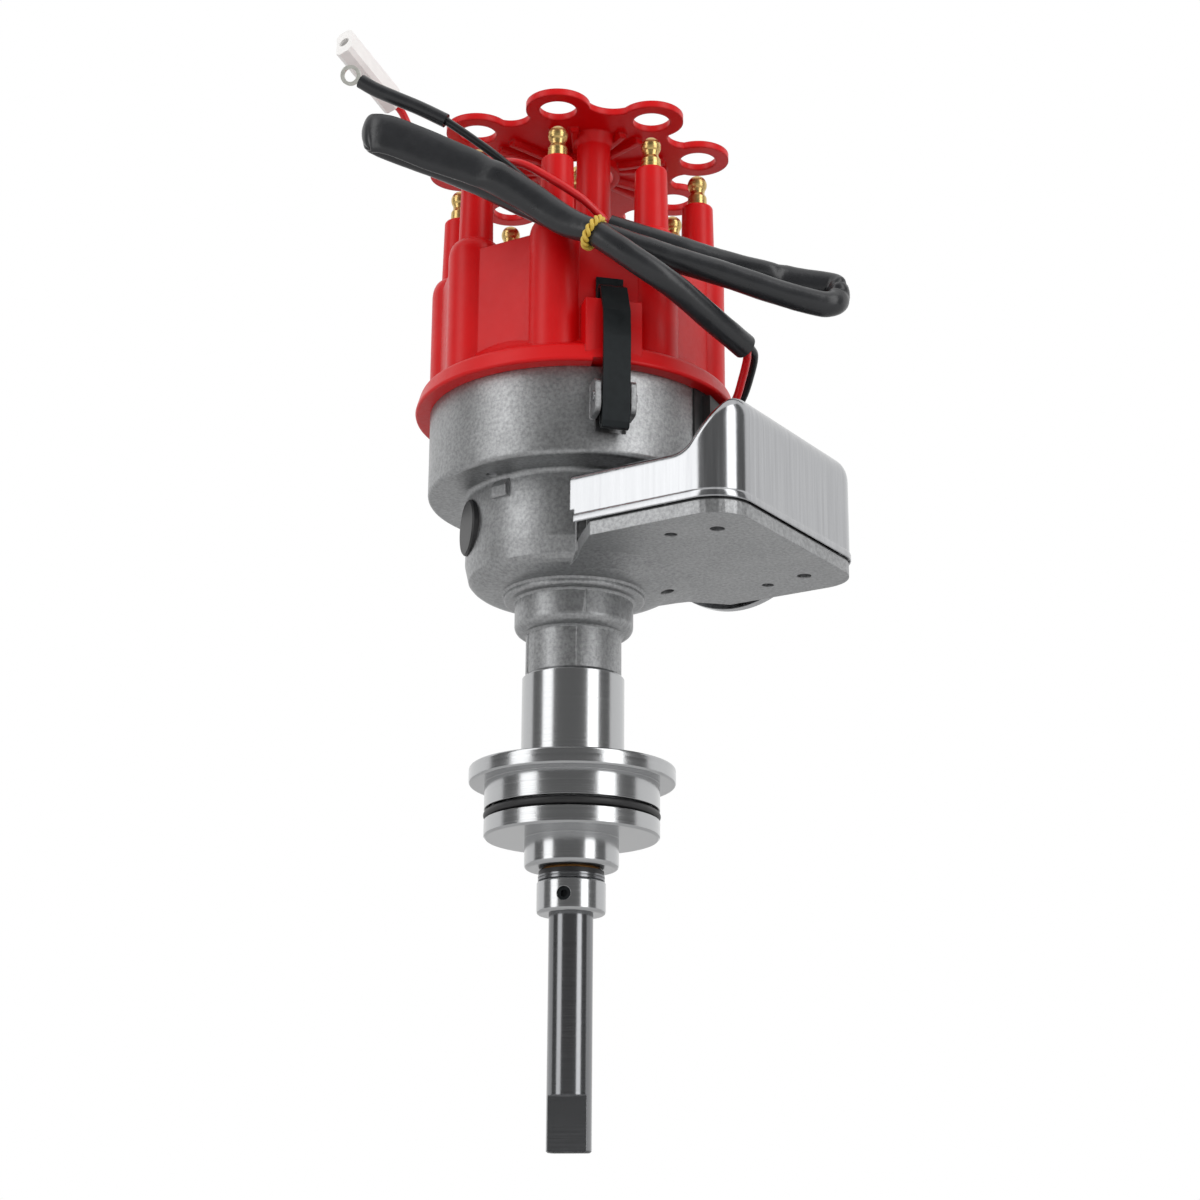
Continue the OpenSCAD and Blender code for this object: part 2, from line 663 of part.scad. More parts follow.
module magnetic_pickup() {
    gap = 0.4;
    color(rubber_black) rotate([0, 0, pickup_angle]) {
        translate([18.4, -8.6, z_plate_top]) cube([12.6, 17.2, 1.2]);
        translate([reluctor_r + gap, -1.3, z_plate_top + 3]) cube([13, 2.6, 7]);
        translate([24.2, -7.5, z_plate_top]) cube([6.8, 15, 12]);
        translate([19.5, 0, z_plate_top + 6.5]) rotate([0, 90, 0]) cylinder(r = 4.6, h = 5, $fn = 40);
    }
}

module pickup_screws() {
    color(turned_grey) rotate([0, 0, pickup_angle]) for (side = [-1, 1])
        translate([21, side * 6.4, z_plate_top + 1.2]) cylinder(r = 2, h = 1.3, $fn = 32);
}

// Rotor on the cam sleeve
z_rotor_blade = z_deck - 12.6;
cap_ceiling = z_deck - 4.2;
insert_inner_r = 32.3;
insert_height = 9;

module rotor() {
    color(cap_red) difference() {
        union() {
            rotate_extrude($fn = 72) polygon(concat(
                [[0, z_rotor], [17, z_rotor], [18, z_rotor + 1], [18, z_rotor + 3], [12.5, z_rotor + 5],
                 [11, z_rotor + 10]],
                [[10, z_sleeve_top + 2], [10, z_rotor_blade], [0, z_rotor_blade]]));
            translate([0, -5, z_rotor_blade - 4]) cube([25, 10, 4]);
            translate([-14, -4, z_rotor_blade - 4]) cube([14, 8, 4]);
        }
        translate([0, 0, z_rotor - 1]) cylinder(r = 8, h = z_sleeve_top - z_rotor + 1, $fn = 64);
    }
}

module rotor_contact() {
    color(brass_yellow) {
        translate([-5, -3.2, z_rotor_blade]) cube([insert_inner_r + 4.4, 6.4, 1.2]);
        translate([0, 0, z_rotor_blade + 1.2]) cylinder(r = 3, h = 2, $fn = 32);
    }
}

// Cap: fluted wall with a lobe under each tower, moulded in one piece
tower_angle = clip_angle - 180 / tower_count;
flat_apothem = upper_bowl_r - 3.6;
cap_skin = 3.3;
rim_r = upper_bowl_r + cap_rim_overhang;
pad_half = 8.3;
pad_reach = rim_r - 1.2;
pad_top = z_rim + 19.6;
foot_r = 2.4;
shoulder = 5.2;

module each_tower() {
    for (i = [0:tower_count - 1]) rotate([0, 0, tower_angle + i * 360 / tower_count]) children();
}

module flats(apothem) {
    corner = apothem / cos(180 / tower_count);
    polygon([for (i = [0:tower_count - 1]) let (a = tower_angle + i * 360 / tower_count)
        [corner * cos(a), corner * sin(a)]]);
}

module tower_profile() {
    top_r = tower_top_d / 2;
    neck_r = top_r + 0.4;
    polygon(concat(
        [[0, z_rim + cap_rim_height - 1], [lobe_r, z_rim + cap_rim_height - 1], [lobe_r, z_deck - 0.4]],
        [for (i = [1:7]) let (a = 12 * i)
            [neck_r + (lobe_r - neck_r) * cos(a), z_deck - 0.4 + shoulder * sin(a)]],
        [[neck_r, z_deck + shoulder], [top_r, z_towers - 1]],
        arc(top_r - 1, z_towers - 1, 1, 0, 90, 4),
        [[0, z_towers]]));
}

module cap_rim() {
    edge = cap_rim_height;
    rotate_extrude($fn = 120) polygon(concat(
        [[upper_inner_r - 3, z_rim], [rim_r - 0.8, z_rim]],
        arc(rim_r - 0.8, z_rim + 0.8, 0.8, -90, 0, 3),
        [[rim_r - 1.2, z_rim + edge - 0.8], [rim_r - 1.5, z_rim + edge - 0.2], [rim_r - 2.2, z_rim + edge + 0.3],
         [rim_r - 4.6, z_rim + edge + 1.4], [rim_r - 6.4, z_rim + edge + 2.9],
         [flat_apothem - 0.3, z_rim + edge + cap_slope_height],
         [upper_inner_r - 3, z_rim + edge + cap_slope_height]]));
    translate([0, 0, z_rim - 2.8]) tube(upper_inner_r - 0.3, upper_inner_r - 3, 3, $fn = 96);
}

module cap_shell() {
    cap_rim();
    translate([0, 0, z_rim + 1]) linear_extrude(height = z_deck - z_rim - 1) flats(flat_apothem);
    each_tower() translate([tower_circle_r, 0, 0]) rotate_extrude($fn = 48) tower_profile();
    rotate_extrude($fn = 64) polygon(concat(
        [[0, cap_ceiling], [12, z_deck - 1], [9.6, z_deck + 1.6], [8, z_deck + 3.4],
         [5.4, z_deck + coil_tower_height - 1.4]],
        arc(4, z_deck + coil_tower_height - 1.4, 1.4, 0, 90, 4), [[0, z_deck + coil_tower_height]]));
    for (turn = [0, 180]) rotate([0, 0, clip_angle + turn]) {
        translate([pad_reach - 13.4, -pad_half, z_rim + 3]) cube([13.4, 2 * pad_half, pad_top - z_rim - 3]);
        spin(0, leg_offset) translate([0, 0, z_deck - 1]) cylinder(r = foot_r, h = 4, $fn = 32);
    }
}

module cap() {
    inner = flat_apothem - cap_skin;
    key_depth = 0.9;
    color(cap_red) difference() {
        cap_shell();
        translate([0, 0, z_rim - 4]) cylinder(r = inner - 0.2, h = cap_ceiling - z_rim + 4, $fn = 96);
        terminal_cores(0);
        coil_core();
        for (turn = [0, 180]) spin(clip_angle + turn, leg_offset) translate([0, 0, cap_ceiling - 1])
            cylinder(r = 1.3, h = 12, $fn = 24);
        translate([0, 0, z_rim - 4]) rotate([0, 0, clip_angle - 5])
            translate([upper_inner_r + 0.5, -2, 0]) cube([10, 4, 4 + key_depth]);
    }
}

// Brass insert: segment inside the cap, stem through the tower, ball terminal on top
module terminal_profile(top, stem_from) {
    r = terminal_d / 2;
    base = top - terminal_height;
    polygon(concat(
        [[0, stem_from], [1.6, stem_from], [1.6, base], [r - 0.1, base], [r, base + 0.4], [r - 0.1, base + 3.3],
         [r - 0.35, base + 3.8], [r - 0.7, base + 4.5], [r - 0.72, base + 5.2]],
        arc(0, top - r, r, -36, 90, 10)));
}

module terminal_cores(extra) {
    each_tower() {
        translate([tower_circle_r, 0, 0]) rotate_extrude($fn = 40) terminal_profile(z_towers + terminal_height, cap_ceiling);
        translate([insert_inner_r, -2, cap_ceiling - insert_height])
            cube([tower_circle_r + 1.6 - insert_inner_r, 4, insert_height + 0.6 + extra]);
    }
}

module coil_core() {
    rotate_extrude($fn = 40)
        terminal_profile(z_deck + coil_tower_height + terminal_height, cap_ceiling);
}

module tower_terminals() {
    color(brass_yellow) terminal_cores(0);
}

module coil_terminal() {
    color(brass_yellow) coil_core();
}

module carbon_brush() {
    color(dark_steel) translate([0, 0, z_rotor_blade + 3.5])
        cylinder(r = 2.4, h = cap_ceiling - z_rotor_blade - 3.5, $fn = 32);
}

// Wire retainer: ribbed plate with a ring round the coil tower, eight loops and two legs
retainer_rib = 3;
coil_hole_r = 11;
leg_flare = 3.4;
notch_depths = [1.4, 4.6, 7.4, 4.6];
half_step = 180 / tower_count;
notch_reach = loop_d / 2 - 0.7;

// Notch between two loops: it touches both and leaves the plate that deep inside their circle
function notch_edge(i) = loop_circle_r - notch_depths[(i + tower_count) % 4];
function notch_r(d) = (pow(loop_circle_r, 2) + d * d - 2 * loop_circle_r * d * cos(half_step) - pow(notch_reach, 2)) /
    (2 * notch_reach + 2 * loop_circle_r * cos(half_step) - 2 * d);

module retainer_outline() {
    difference() {
        polygon([for (i = [0:tower_count - 1]) let (a = tower_angle + i * 2 * half_step, d = notch_edge(i),
            m = d + notch_r(d)) each [[loop_circle_r * cos(a), loop_circle_r * sin(a)],
                [m * cos(a + half_step), m * sin(a + half_step)]]]);
        for (i = [0:tower_count - 1]) let (d = notch_edge(i))
            rotate([0, 0, tower_angle + (2 * i + 1) * half_step]) translate([d + notch_r(d), 0])
                circle(r = notch_r(d), $fn = 64);
    }
}

module retainer_plate() {
    linear_extrude(height = retainer_thickness) difference() {
        union() {
            retainer_outline();
            for (i = [0:tower_count - 1]) rotate([0, 0, tower_angle + i * 2 * half_step])
                translate([loop_circle_r, 0]) circle(d = loop_d, $fn = 64);
        }
        circle(r = coil_hole_r, $fn = 64);
        for (i = [0:tower_count - 1]) rotate([0, 0, tower_angle + i * 2 * half_step])
            translate([loop_circle_r, 0]) circle(d = loop_hole_d, $fn = 48);
    }
}

module wire_retainer() {
    color(cap_red) difference() {
        union() {
            translate([0, 0, z_retainer]) retainer_plate();
            translate([0, 0, z_retainer - retainer_rib]) tube(coil_hole_r + 2, coil_hole_r, retainer_rib + 1, $fn = 64);
            each_tower() for (side = [-1, 1]) rotate([0, 0, side * 6.5])
                translate([coil_hole_r + 1, 0, z_retainer + 0.4]) rotate([-90, 0, 0]) rotate([0, 90, 0])
                    linear_extrude(height = loop_circle_r - loop_d / 2 - coil_hole_r - 1.4)
                        polygon([[-1.5, -0.3], [1.5, -0.3], [1.5, 0.3], [0.9, retainer_rib - 0.9],
                            [-0.9, retainer_rib - 0.9], [-1.5, 0.3]]);
            for (turn = [0, 180]) spin(clip_angle + turn, leg_offset) {
                translate([0, 0, z_deck])
                    cylinder(r1 = leg_d / 2 + 0.3, r2 = leg_d / 2, h = z_retainer - z_deck + 0.5, $fn = 48);
                translate([0, 0, z_retainer - leg_flare])
                    cylinder(r1 = leg_d / 2, r2 = leg_d / 2 + leg_flare / 2, h = leg_flare + 0.6, $fn = 48);
            }
        }
        for (turn = [0, 180]) spin(clip_angle + turn, leg_offset) {
            translate([0, 0, z_deck - 1]) cylinder(r = foot_r, h = 4, $fn = 32);
            translate([0, 0, z_deck]) cylinder(r = 1.6, h = 80, $fn = 24);
        }
    }
}

module retainer_screws() {
    color(dark_steel) for (turn = [0, 180]) spin(clip_angle + turn, leg_offset) {
        translate([0, 0, z_deck - 3]) cylinder(r = 1.3, h = z_retainer + retainer_thickness - z_deck + 3, $fn = 24);
        translate([0, 0, z_retainer + retainer_thickness]) cylinder(r = 3, h = 2, $fn = 32);
    }
}

// Spring clip: a strip with an eye on its pin, hooked over the cap's pad
hook_z = pad_top + 0.8;
front_r = clip_pin_radius + 2.1;

function strip_side(p, t) = [for (i = [0:len(p) - 1])
    let (a = p[max(i - 1, 0)], b = p[min(i + 1, len(p) - 1)], d = (b - a) / norm(b - a))
    p[i] + t * [-d[1], d[0]]];

module strip(p) {
    a = strip_side(p, clip_thickness / 2);
    b = strip_side(p, -clip_thickness / 2);
    polygon(concat(a, [for (i = [len(b) - 1:-1:0]) b[i]]));
}

module spring_clip() {
    z = z_clip_pin;
    color(rubber_black) difference() {
        union() {
            translate([clip_pin_radius - 0.3, 0, z]) rotate([90, 0, 0])
                cylinder(r = 2.4, h = clip_width, center = true, $fn = 40);
            radial_slab(clip_width) strip([[front_r - 3.1, z - 1.9], [front_r - 3.2, z - 6], [front_r - 3, z - 8],
                [front_r - 2.1, z - 9], [front_r - 1.1, z - 9], [front_r - 0.6, z - 7.6], [front_r, z],
                [front_r + 0.4, z + 9], [front_r + 0.6, z + 18], [front_r + 0.1, hook_z - 5.4],
                [front_r - 2.2, hook_z - 0.4], [front_r - 4, hook_z + 3.4], [front_r - 5.4, hook_z + 4.3],
                [front_r - 6.8, hook_z + 3.5], [front_r - 7.6, hook_z + 1.4], [front_r - 8, hook_z]]);
            radial_slab(clip_width)
                strip([[front_r - 8.1, hook_z], [front_r - 8.7, hook_z + 1.6], [front_r - 8.8, hook_z + 8.4]]);
        }
        translate([clip_pin_radius, 0, z]) rotate([90, 0, 0])
            cylinder(r = pin_r + running_clearance, h = 20, center = true, $fn = 40);
    }
}

module front_clip() {
    rotate([0, 0, clip_angle]) spring_clip();
}

module rear_clip() {
    rotate([0, 0, clip_angle + 180]) spring_clip();
}

module clip_pin() {
    color(dark_steel) translate([clip_pin_radius, 0, z_clip_pin]) rotate([90, 0, 0])
        cylinder(r = pin_r, h = 2 * lug_half + 0.8, center = true, $fn = 32);
}

module front_clip_pin() {
    rotate([0, 0, clip_angle]) clip_pin();
}

module rear_clip_pin() {
    rotate([0, 0, clip_angle + 180]) clip_pin();
}

// Module under its cover, on the platform
gasket_z = platform_top;
cover_z = gasket_z + gasket_thickness;
low_roof = platform_top + cover_low_height;
high_roof = platform_top + cover_high_height;
rise_start = 54;
rise_angle = 55;
rise_r = 8;
gasket_lap = 1.6;
roof_round = 8;
low_round = 6;
lip_height = 2.2;
lip_proud = 0.4;
end_step = 1.5;
module_back = lower_bowl_r + 0.8 + cover_wall + gasket_lap + 0.7;

function cover_rise(inset) =
    let (c = rise_r * (1 - cos(rise_angle)), run = (high_roof - low_roof - 2 * c) / tan(rise_angle),
         x2 = rise_start + 2 * rise_r * sin(rise_angle) + run)
    concat(arc(rise_start, low_roof + rise_r, rise_r + inset, -90, rise_angle - 90, 5),
           arc(x2, high_roof - rise_r, rise_r - inset, rise_angle + 90, 90, 5));

module cover_side(inset) {
    polygon(concat([[0, cover_z - 1], [0, low_roof - inset]], cover_rise(inset),
        [[platform_reach + 1, high_roof - inset], [platform_reach + 1, cover_z - 1]]));
}

module cover_plan(inset) {
    c = platform_corner;
    w = half_width + 0.3 - inset;
    gap_r = lower_bowl_r + 0.8 + inset;
    difference() {
        polygon(concat([[cover_start + inset, -w]],
            arc(platform_reach + 0.3 - c, -w + c - inset, c - inset, -90, 0, 10),
            arc(platform_reach + 0.3 - c, w - c + inset, c - inset, 0, 90, 10),
            [[cover_start + inset, w], [18 + inset, 28 - inset], [18 + inset, -28 + inset]]));
        circle(r = gap_r, $fn = 96);
    }
}

module cover_end(inset, roof, round_r) {
    r = round_r - inset;
    w = half_width + 0.3 - inset;
    polygon(concat([[-w, cover_z - 1]], arc(-w + r, roof - inset - r, r, 180, 90, 8),
        arc(w - r, roof - inset - r, r, 90, 0, 8), [[w, cover_z - 1]]));
}

// The low front and the high end each have their own rounded cross-section
module cover_block(inset, bottom) {
    intersection() {
        translate([0, 0, bottom]) linear_extrude(height = 60) cover_plan(inset);
        rotate([90, 0, 0]) linear_extrude(height = 2 * platform_width, center = true) cover_side(inset);
        union() {
            rotate([90, 0, 90]) linear_extrude(height = rise_start + 0.5) cover_end(inset, low_roof, low_round);
            translate([rise_start, 0, 0]) rotate([90, 0, 90]) linear_extrude(height = platform_reach)
                cover_end(inset, high_roof, roof_round);
        }
    }
}

module module_cover() {
    color(plated_grey) difference() {
        union() {
            cover_block(0, cover_z);
            translate([0, 0, cover_z]) linear_extrude(height = lip_height) intersection() {
                cover_plan(-lip_proud);
                translate([cover_start + end_step, -platform_width]) square([2 * platform_reach, 2 * platform_width]);
            }
        }
        cover_block(cover_wall, cover_z - 0.5);
        for (side = [-1, 1]) translate([cover_start - 3, side * half_width - 4, cover_z - 1])
            cube([3 + end_step, 8, 1 + lip_height + 1.6]);
        for (side = [-1, 1]) translate([cover_screw_x, side * cover_screw_y, platform_top])
            cylinder(r = small_screw_r, h = 30, $fn = 32);
    }
}

module cover_gasket() {
    color(rubber_black) translate([0, 0, gasket_z]) linear_extrude(height = gasket_thickness) difference() {
        intersection() {
            cover_plan(0.5);
            platform_outline();
        }
        cover_plan(cover_wall + gasket_lap);
    }
}

module cover_screws() {
    color(turned_grey) for (side = [-1, 1]) translate([cover_screw_x, side * cover_screw_y, 0]) {
        translate([0, 0, platform_z + screw_recess])
            cylinder(r = small_screw_r, h = low_roof - platform_z - screw_recess, $fn = 32);
        translate([0, 0, low_roof]) rotate_extrude($fn = 40)
            polygon(concat([[0, 0], [3.6, 0]], arc(0, -1, 3.8, 15, 90, 6)));
    }
}

module ignition_module() {
    color(rubber_black) difference() {
        union() {
            translate([module_back, -22, platform_top]) cube([72 - module_back, 44, 2.4]);
            translate([module_screw_x - 5, -30, platform_top]) cube([10, 60, 2.4]);
            translate([module_back, -21, platform_top + 2.4]) cube([72 - module_back, 42, low_roof - platform_top - 5]);
            translate([66, -19, platform_top + 6]) cube([6, 38, high_roof - platform_top - 16]);
        }
        for (side = [-1, 1]) translate([module_screw_x, side * module_screw_y, platform_top - 1])
            cylinder(r = module_screw_r, h = 6, $fn = 32);
    }
}

module module_screws() {
    color(turned_grey) for (side = [-1, 1]) translate([module_screw_x, side * module_screw_y, 0]) {
        translate([0, 0, platform_z + screw_recess])
            cylinder(r = module_screw_r, h = platform_thickness + 2.4 - screw_recess, $fn = 32);
        translate([0, 0, platform_top + 2.4]) cylinder(r = 3.2, h = 2.2, $fn = 32);
    }
}

// Vacuum canister: two shells crimped on the diaphragm, on the boss beside the bowl
rim_y = canister_face + 8.5;
canister_r = canister_d / 2;
link_z = z_plate_top + 0.3;
arm_thickness = 2.2;
rod_r = 2;

module along_canister() {
    translate([canister_offset, 0, canister_z]) rotate([-90, 0, 0]) children();
}

module canister_inner_shell() {
    color(plated_grey) {
        difference() {
            translate([canister_offset - boss_half, canister_face, canister_z - 5.3])
                cube([2 * boss_half, arm_thickness, 17]);
            along_canister() cylinder(r = 4.4, h = 90, $fn = 40);
            for (side = [-1, 1]) translate([canister_offset + side * arm_screw_gap, canister_face - 1, canister_z + 3])
                rotate([-90, 0, 0]) cylinder(r = 1.6, h = 12, $fn = 32);
        }
        along_canister() rotate_extrude($fn = 96) polygon([
            [4.4, canister_face + 1.2], [5.4, canister_face + 1.2], [5.4, rim_y - 3.4], [22, rim_y - 3.4],
            [27, rim_y - 1.6], [canister_r, rim_y - 1.6], [canister_r, rim_y + 1.2], [canister_r - 1, rim_y + 1.2],
            [canister_r - 1, rim_y - 0.6], [26, rim_y - 0.6], [21, rim_y - 2.4], [rod_r + 0.06, rim_y - 2.4],
            [rod_r + 0.06, rim_y - 4.4], [4.4, rim_y - 4.4]]);
    }
}

module canister_outer_shell() {
    depth = rod_stroke + 5;
    r = nipple_d / 2;
    color(plated_grey) along_canister() rotate_extrude($fn = 96) polygon([
        [1.5, rim_y + depth + 18], [r - 0.6, rim_y + depth + 18], [r, rim_y + depth + 17.2],
        [r, rim_y + depth + 4], [r + 1.6, rim_y + depth + 2], [13, rim_y + depth + 1], [22, rim_y + depth - 1.6],
        [26, rim_y + 1.2], [canister_r - 1, rim_y + 1.2], [canister_r - 1, rim_y + 0.2], [25, rim_y + 0.2],
        [21, rim_y + depth - 2.6], [12.6, rim_y + depth], [1.5, rim_y + depth + 0.6]]);
}

module canister_screws() {
    color(turned_grey) for (side = [-1, 1])
        translate([canister_offset + side * arm_screw_gap, canister_face, canister_z + 3]) rotate([-90, 0, 0]) {
            translate([0, 0, -8]) cylinder(r = 1.6, h = 8 + arm_thickness, $fn = 32);
            translate([0, 0, arm_thickness]) cylinder(r = 3, h = 1.8, $fn = 32);
        }
}

module vacuum_diaphragm() {
    color(rubber_black) along_canister() translate([0, 0, rim_y - 0.3]) difference() {
        cylinder(r = 20.5, h = 0.8, $fn = 72);
        translate([0, 0, -1]) cylinder(r = rod_r, h = 3, $fn = 32);
    }
}

module vacuum_rod() {
    color(steel_grey) difference() {
        union() {
            along_canister() translate([0, 0, canister_face - 8]) cylinder(r = rod_r, h = rim_y - canister_face + 9, $fn = 32);
            translate([canister_offset - 2.6, -canister_offset * sin(-link_rest_angle) - 3, link_z])
                cube([5.2, canister_face - 1, 1.5]);
            translate([canister_offset - 2, canister_face - 9, canister_z - 1]) cube([4, 3.6, link_z - canister_z + 2.5]);
        }
        translate([canister_offset - 0.1, canister_offset * sin(link_rest_angle), link_z - 1])
            cylinder(r = link_pin_r + 0.4, h = 4, $fn = 32);
    }
}

module diaphragm_spring() {
    wire = 0.7;
    turns = 3;
    color(turned_grey) along_canister() for (i = [0:turns - 1])
        translate([0, 0, rim_y + rod_stroke + 5 - wire - i * (2 * wire - 0.05)])
            rotate_extrude($fn = 48) translate([9, 0]) circle(r = wire, $fn = 16);
}

module wire_grommet() {
    color(rubber_black) rotate([0, 0, grommet_angle]) difference() {
        union() {
            intersection() {
                translate([upper_inner_r - 6, -grommet_width / 2, z_rim - grommet_depth])
                    cube([14, grommet_width, grommet_depth]);
                translate([0, 0, z_rim - 40]) tube(upper_bowl_r + 0.5, upper_inner_r, 60, $fn = 96);
            }
            translate([upper_bowl_r - 3, -8, z_rim - 10.4]) cube([5.2, 16, 9.2]);
        }
        for (side = [-1, 1]) translate([upper_bowl_r + 1.2, side * 2.2, z_rim - 5.8]) rotate([0, 90, 0])
            cylinder(r = 1.4, h = 5, $fn = 24);
    }
}

// Harness: tubes swept through points that keep to the direction from which it was measured
harness_turn = 33;
loom_path = [[49, -38, 121.5], [40, -48, 124.8], [30, -56, 130.3], [24, -59.5, 133.5], [17, -60.8, 138],
    [11.5, -60.5, 142.2], [5.5, -59.2, 147], [-2, -57, 152], [-13, -55.8, 160.8], [-24, -55.3, 168.2],
    [-36.5, -55.2, 174.7], [-50.5, -55.2, 180.9], [-56.5, -54.6, 183], [-59.3, -53, 183.5], [-60.4, -50.8, 183.3],
    [-59.9, -48.3, 182.7], [-57.5, -46.8, 181.6], [-45.5, -46.5, 176.5], [-33, -46.5, 171], [-24.5, -46.7, 167],
    [-13.5, -47.2, 161], [-4.5, -48.8, 156.1], [5.5, -50.8, 151.2], [13, -51.2, 148.3], [20, -50.8, 146],
    [27.5, -50, 143.6], [43, -49, 139], [58.5, -47.6, 134.1], [69, -46.7, 131.5], [73, -46, 131.5],
    [75.4, -44.2, 133.4], [76.1, -42, 136.6], [74.8, -40, 139.3], [71.5, -39.2, 140.5], [64, -39.3, 141.8],
    [54, -40, 143.9], [41, -41.4, 146.5], [30.5, -42.4, 149.8], [17.5, -42.9, 153.9], [9.5, -43, 156.7]];
red_lead_path = [[40.9, -19.8, 106.9], [43.6, -21, 107.1], [47, -24, 110.5], [48.8, -29, 115.4],
    [49.8, -33.5, 119], [49.8, -37, 120.6]];
black_lead_path = [[42.6, -15.7, 106.9], [45.3, -16.9, 107.3], [49.3, -20.6, 112.4], [51.4, -26, 117.6],
    [52.2, -31.5, 121.3], [50.6, -36, 122.4]];
red_tail_path = [[9.2, -42.5, 158], [5.8, -43.8, 161.3], [1, -46, 164.8], [-7.6, -47.2, 170.1],
    [-16, -47.2, 174.8], [-24.8, -43, 177.8], [-34.7, -37, 183], [-42, -30, 187], [-47, -23.5, 191.6],
    [-50, -19.4, 197], [-52, -18.6, 202.2], [-54.2, -21.2, 206], [-57.2, -25.4, 207.8]];
black_tail_path = [[8.4, -44.3, 156.6], [3.9, -46.2, 159.8], [-3.2, -48.2, 163.4], [-8.4, -50, 166],
    [-13.3, -51.3, 168.8], [-22, -51.7, 174.7], [-31, -51.7, 181], [-38, -51.5, 186.2]];
ring_sleeve_path = [[-38, -51.5, 186.2], [-45.7, -51.5, 190.2], [-53, -51.5, 193.5], [-59, -51.5, 196.3],
    [-63.4, -51.5, 199]];
ring_at = [-66.4, -51.5, 200.9];
connector_at = [-63.2, -34.5, 211.8];
connector_length = 25;
connector_width = 10.6;
connector_depth = 5.4;
tie_centre = [5.6, -55, 149];
tie_gap = 8.5;

function unit(v) = v / norm(v);
function run_at(p, i) = unit(p[min(i + 1, len(p) - 1)] - p[max(i - 1, 0)]);
function square_to(n, t) = unit(n - (n * t) * t);
function carried(p, i, n) = i >= len(p) ? [] :
    let (m = square_to(n, run_at(p, i))) concat([m], carried(p, i + 1, m));

// Tube through the points of a path, with flat ends
module cord(path, diameter, sides) {
    first = run_at(path, 0);
    normals = carried(path, 0, abs(first[2]) > 0.8 ? [1, 0, 0] : [0, 0, 1]);
    count = len(path);
    rings = [for (i = [0:count - 1]) let (t = run_at(path, i), n = normals[i], b = cross(t, n))
        for (k = [0:sides - 1]) let (a = k * 360 / sides)
            path[i] + diameter / 2 * (cos(a) * n + sin(a) * b)];
    walls = [for (i = [0:count - 2]) for (k = [0:sides - 1])
        let (a = i * sides + k, b = i * sides + (k + 1) % sides)
        each [[a, a + sides, b], [b, a + sides, b + sides]]];
    polyhedron(points = rings, faces = concat(walls,
        [[for (k = [0:sides - 1]) k]],
        [[for (k = [sides - 1:-1:0]) (count - 1) * sides + k]]), convexity = 6);
}

module red_lead() {
    color(cap_red) rotate([0, 0, harness_turn]) cord(red_lead_path, lead_d, 8);
}

module black_lead() {
    color(rubber_black) rotate([0, 0, harness_turn]) cord(black_lead_path, lead_d, 8);
}

module harness_sleeve() {
    color(rubber_black) rotate([0, 0, harness_turn]) cord(loom_path, loom_d, 10);
}

module harness_tie() {
    inner = loom_d / 2;
    outer = inner + 0.7;
    half = tie_gap / 2;
    color("#e3c21d") rotate([0, 0, harness_turn]) translate(tie_centre) rotate([0, 52.4, 166.5])
        linear_extrude(height = tie_width, center = true) difference() {
            polygon(concat(arc(0, half, outer, 0, 180, 10), arc(0, -half, outer, 180, 360, 10)));
            polygon(concat(arc(0, half, inner, 0, 180, 10), arc(0, -half, inner, 180, 360, 10)));
        }
}

module red_tail() {
    color(cap_red) rotate([0, 0, harness_turn]) cord(red_tail_path, lead_d, 8);
}

module black_tail() {
    color(rubber_black) rotate([0, 0, harness_turn]) cord(black_tail_path, lead_d, 8);
}

module ring_sleeve() {
    color(rubber_black) rotate([0, 0, harness_turn]) cord(ring_sleeve_path, ring_sleeve_d, 10);
}

module ring_terminal() {
    color(plated_grey) rotate([0, 0, harness_turn]) translate(ring_at) rotate([112.6, 32, 0])
        linear_extrude(height = 0.9, center = true) difference() {
            union() {
                circle(r = 3, $fn = 48);
                translate([2, -1.2]) square([3.2, 2.4]);
            }
            circle(r = 1.95, $fn = 32);
        }
}

module lead_connector() {
    w = connector_width / 2;
    d = connector_depth / 2;
    cut = 1.2;
    color("#e6e4e4") rotate([0, 0, harness_turn]) translate(connector_at) rotate([0, 69.8, -123.6]) rotate([0, 0, 17])
        difference() {
        linear_extrude(height = connector_length, center = true)
            polygon([[-w + cut, -d], [w - cut, -d], [w, -d + cut], [w, d - cut], [w - cut, d],
                [-w + cut, d], [-w, d - cut], [-w, -d + cut]]);
        translate([0, 0, connector_length / 2 - 9]) cylinder(r = 1.7, h = 20, $fn = 32);
    }
}

housing();
mounting_adapter();
pilot_o_ring();
lower_bush();
upper_bush();
bowl_plug();
drive_shaft();
shaft_collar();
collar_set_screw();
rubber_washer();
steel_shim();
advance_base_plate();
advance_weight_a();
advance_weight_b();
weight_springs();
cam_sleeve();
reluctor();
lower_plate();
plate_screws();
pickup_plate();
magnetic_pickup();
pickup_screws();
rotor();
rotor_contact();
cap();
tower_terminals();
coil_terminal();
carbon_brush();
wire_retainer();
retainer_screws();
front_clip();
rear_clip();
front_clip_pin();
rear_clip_pin();
ignition_module();
module_screws();
module_cover();
cover_gasket();
cover_screws();
canister_inner_shell();
canister_outer_shell();
canister_screws();
vacuum_diaphragm();
vacuum_rod();
diaphragm_spring();
wire_grommet();
red_lead();
black_lead();
harness_sleeve();
harness_tie();
red_tail();
lead_connector();
black_tail();
ring_sleeve();
ring_terminal();
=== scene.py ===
import math

import bmesh
import bpy
from bpy.props import FloatProperty, FloatVectorProperty, PointerProperty
from mathutils import Matrix, Vector, noise


